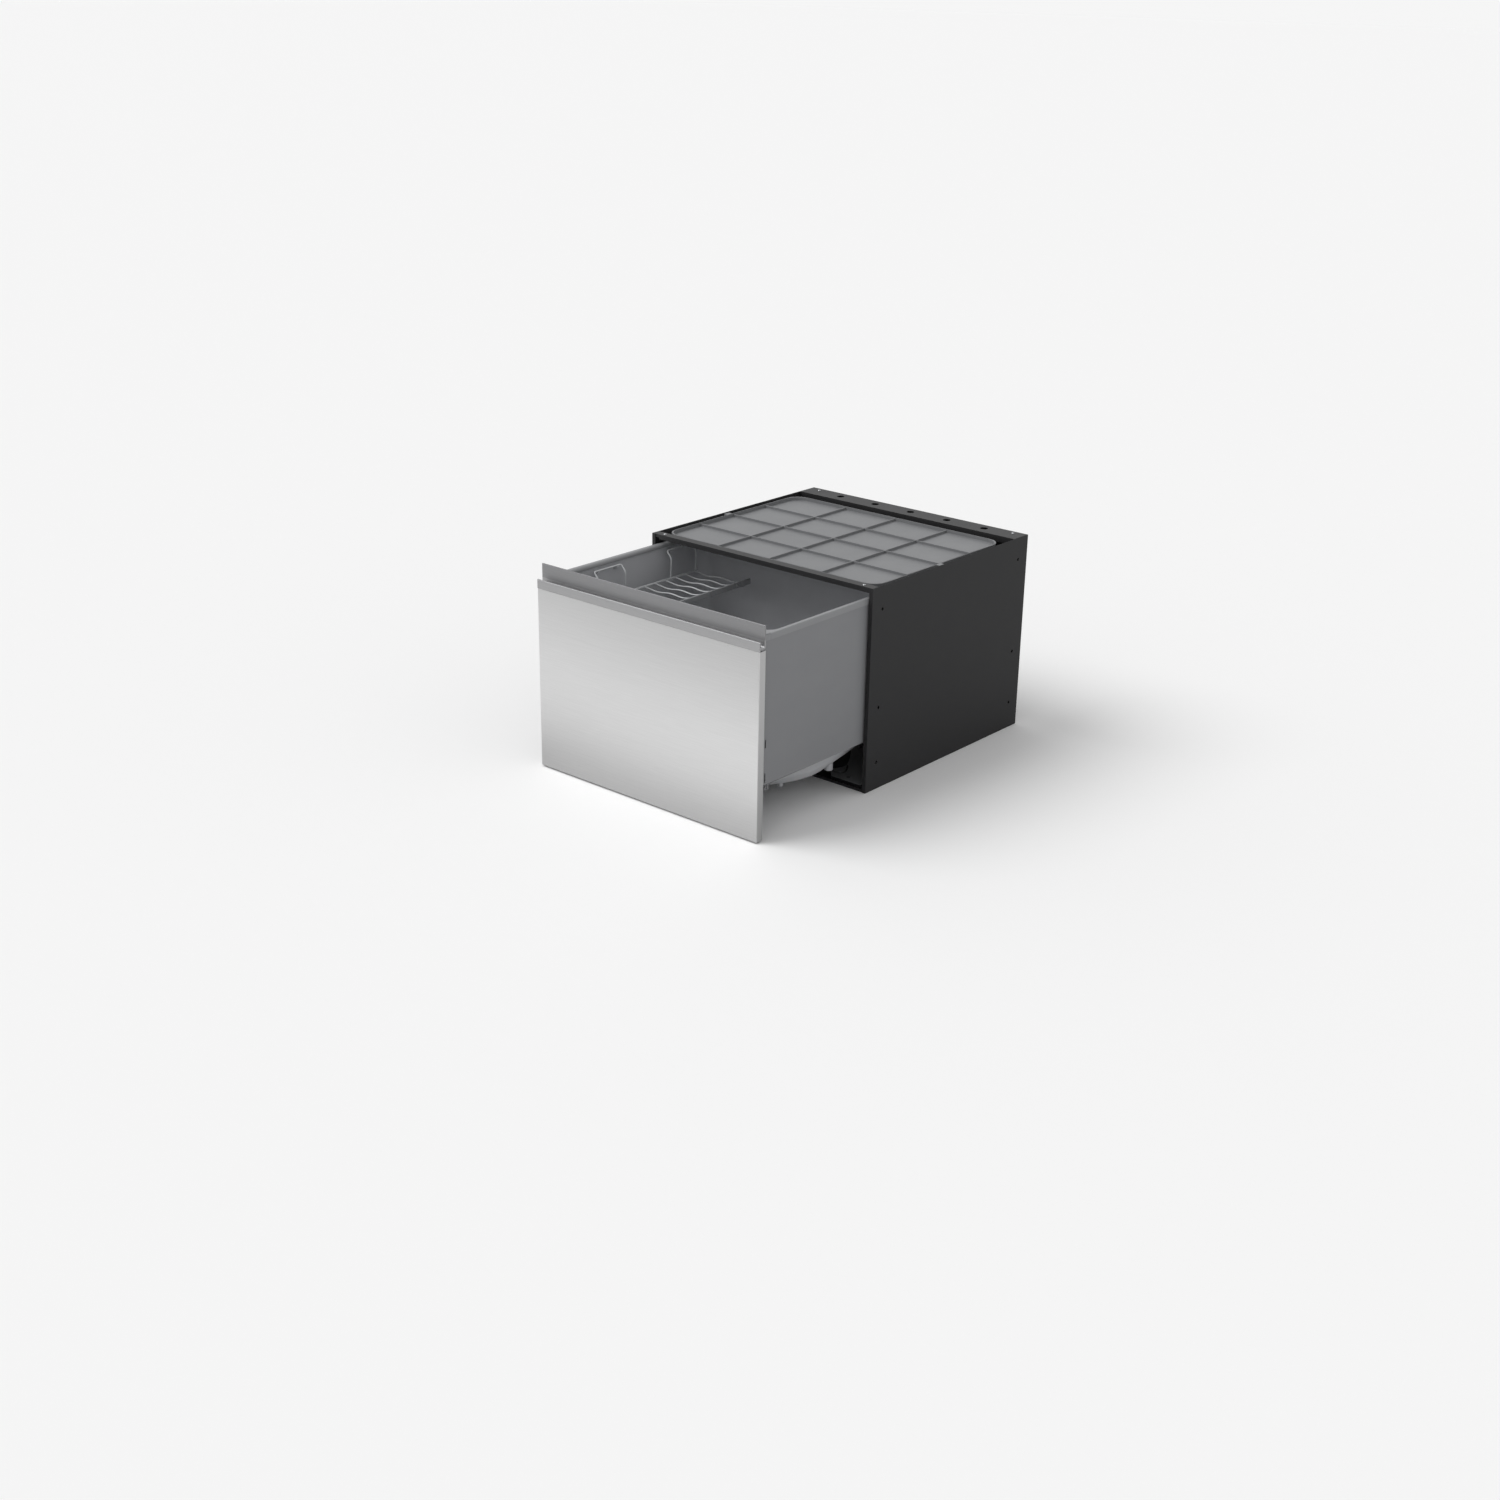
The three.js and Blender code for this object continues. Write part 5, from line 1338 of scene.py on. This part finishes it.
    def build_cup_rack(self) -> None:
        """Builds the cup rack's wires and dresses its edge strip."""
        form = Form()
        low, high = self.cup_ends
        (x0, z0), (x1, z1) = self.cup_wire[0], self.cup_wire[-1]
        form.wire([(x0, low, z0), (x0, high, z0)], 4.8, sides=16)
        form.wire([(x1, low + 4, z1), (x1, high - 4, z1)], 4.4, sides=14)
        for i in range(self.cup_wires):
            y = low + 10 + i * (high - low - 20) / (self.cup_wires - 1)
            form.wire(eased([(x, y, z) for x, z in self.cup_wire], 14, 5), 3.0)
        form.finish("cup_rack_wires", WIRE_COAT, Body.CUP_RACK, ["cup_rack"], sharp=60)
        dress(RIM_PLASTIC, 0.5, "cup_rack_edge")


@dataclass
class Studio:
    """The pale floor with its painted light, the light and the photograph's camera.

    Attributes:
        floor: How far the floor reaches, in metres.
        gap: How far in millimetres it lies under the drawer's feet.
        pale: Its colour.
        painted_light_bands: Painted light: how light the floor is to glossy rays, each at a place along Y in
            metres, so that the brushed front shows it as light and shade.
        backdrop: How bright what lies beyond the floor looks.
        sky: How brightly the surroundings light the drawer.
        sun: How brightly the soft main light does.
        sun_width: How wide that light looks, in degrees.
        sun_turns: Its turns about X, Y and Z, in degrees.
        lens: The camera's focal length in millimetres, on a 36 mm wide sensor.
        stand: Where the camera stands, in metres.
        aim: Its turns about X, Y and Z, in degrees.
    """

    floor: float = 60.0
    gap: float = 0.5
    pale: str = "#f9f9f9"
    painted_light_bands: Path = ((-3.0, 0.45), (-1.85, 0.32), (-0.98, 1.0), (-0.62, 0.5), (0.4, 0.5))
    backdrop: float = 0.92
    sky: float = 0.6
    sun: float = 1.5
    sun_width: float = 40.0
    sun_turns: Row = (40.0, 0.0, -48.0)
    lens: float = 47.65
    stand: Row = (2.5509, -3.3021, 1.5885)
    aim: Row = (68.32, -0.885, 40.634)

    def build(self) -> None:
        """Builds the floor, lights and camera."""
        self.build_floor()
        self.build_light()
        self.build_camera()
        bpy.context.scene.view_settings.view_transform = "Standard"

    def build_floor(self) -> None:
        """Lays a pale matt floor, with painted light in it that only reflections show."""
        form = bmesh.new()
        bmesh.ops.create_grid(form, x_segments=2, y_segments=2, size=self.floor)
        mesh = bpy.data.meshes.new("studio_floor")
        form.to_mesh(mesh)
        form.free()
        mesh.materials.append(self.floor_paint_with_painted_light())
        floor = put_in("studio_floor", mesh)
        floor.location.z = -self.gap * MM

    def floor_paint_with_painted_light(self) -> bpy.types.Material:
        """The floor's matt paint, with painted light: soft bands that the brushed front mirrors as a painted
        reflection.

        Returns:
            A material that is plain to the camera and banded along Y to glossy rays.
        """
        made = bpy.data.materials.new("matt_studio_paint_painted_light")
        made.use_nodes = True
        tree = made.node_tree
        shader = tree.nodes["Principled BSDF"]
        shader.inputs["Roughness"].default_value = 0.9
        shader.inputs["Specular IOR Level"].default_value = 0.1
        # painted light: to glossy rays the floor grows lighter and darker along Y, which the brushed front
        # shows as its light and shade
        start, end = self.painted_light_bands[0][0], self.painted_light_bands[-1][0]
        far = add_range(tree, add_axis(tree, add_place(tree), "Y"), start, end)
        ramp = add_node(tree, "ShaderNodeValToRGB", {"Fac": far})
        ramp.color_ramp.interpolation = "EASE"
        stops = ramp.color_ramp.elements
        for i, (y, tone) in enumerate(self.painted_light_bands):
            at = (y - start) / (end - start)
            stop = stops[i] if i < 2 else stops.new(at)
            stop.position, stop.color = at, (tone, tone, tone, 1)
        glossy = add_node(tree, "ShaderNodeLightPath").outputs["Is Glossy Ray"]
        colour = add_mix(tree, glossy, linear(self.pale), ramp.outputs["Color"])
        tree.links.new(colour, shader.inputs["Base Color"])
        return made

    def build_light(self) -> None:
        """Lights the drawer softly from the front left and from all round."""
        world = bpy.data.worlds.new("studio")
        bpy.context.scene.world = world
        world.use_nodes = True
        tree = world.node_tree
        tree.nodes.clear()
        rays = add_node(tree, "ShaderNodeLightPath").outputs
        direct = {0: rays["Is Camera Ray"], 1: rays["Is Glossy Ray"]}
        seen = add_node(tree, "ShaderNodeMath", direct, operation="MAXIMUM")
        inputs = {0: seen.outputs["Value"]}
        for i, strength in enumerate((self.sky, self.backdrop), 1):
            white = {"Color": (1, 1, 1, 1), "Strength": strength}
            inputs[i] = add_node(tree, "ShaderNodeBackground", white).outputs["Background"]
        mixed = add_node(tree, "ShaderNodeMixShader", inputs)
        add_node(tree, "ShaderNodeOutputWorld", {"Surface": mixed.outputs["Shader"]})
        lamp = bpy.data.lights.new("soft_main_light", "SUN")
        lamp.energy = self.sun
        lamp.angle = math.radians(self.sun_width)
        sun = put_in("soft_main_light", lamp)
        sun.rotation_euler = Euler([math.radians(a) for a in self.sun_turns])

    def build_camera(self) -> None:
        """Stands the camera where the photograph was taken from."""
        data = bpy.data.cameras.new("photograph")
        data.sensor_width = 36
        data.lens = self.lens
        data.clip_start, data.clip_end = 0.05, 200
        camera = put_in("photograph", data)
        camera.location = self.stand
        camera.rotation_euler = Euler([math.radians(a) for a in self.aim])
        bpy.context.scene.camera = camera


def main() -> None:
    """Builds the drawer, piece by piece, and the studio round it."""
    logging.basicConfig(level=logging.INFO, format="%(message)s")
    for assembly in (Chassis(), Lid(), Runners(), Tub(), Front(), WashSystem(), Racks()):
        log.info("building %s", type(assembly).__name__)
        assembly.build()
    Studio().build()


if __name__ == "__main__":
    main()
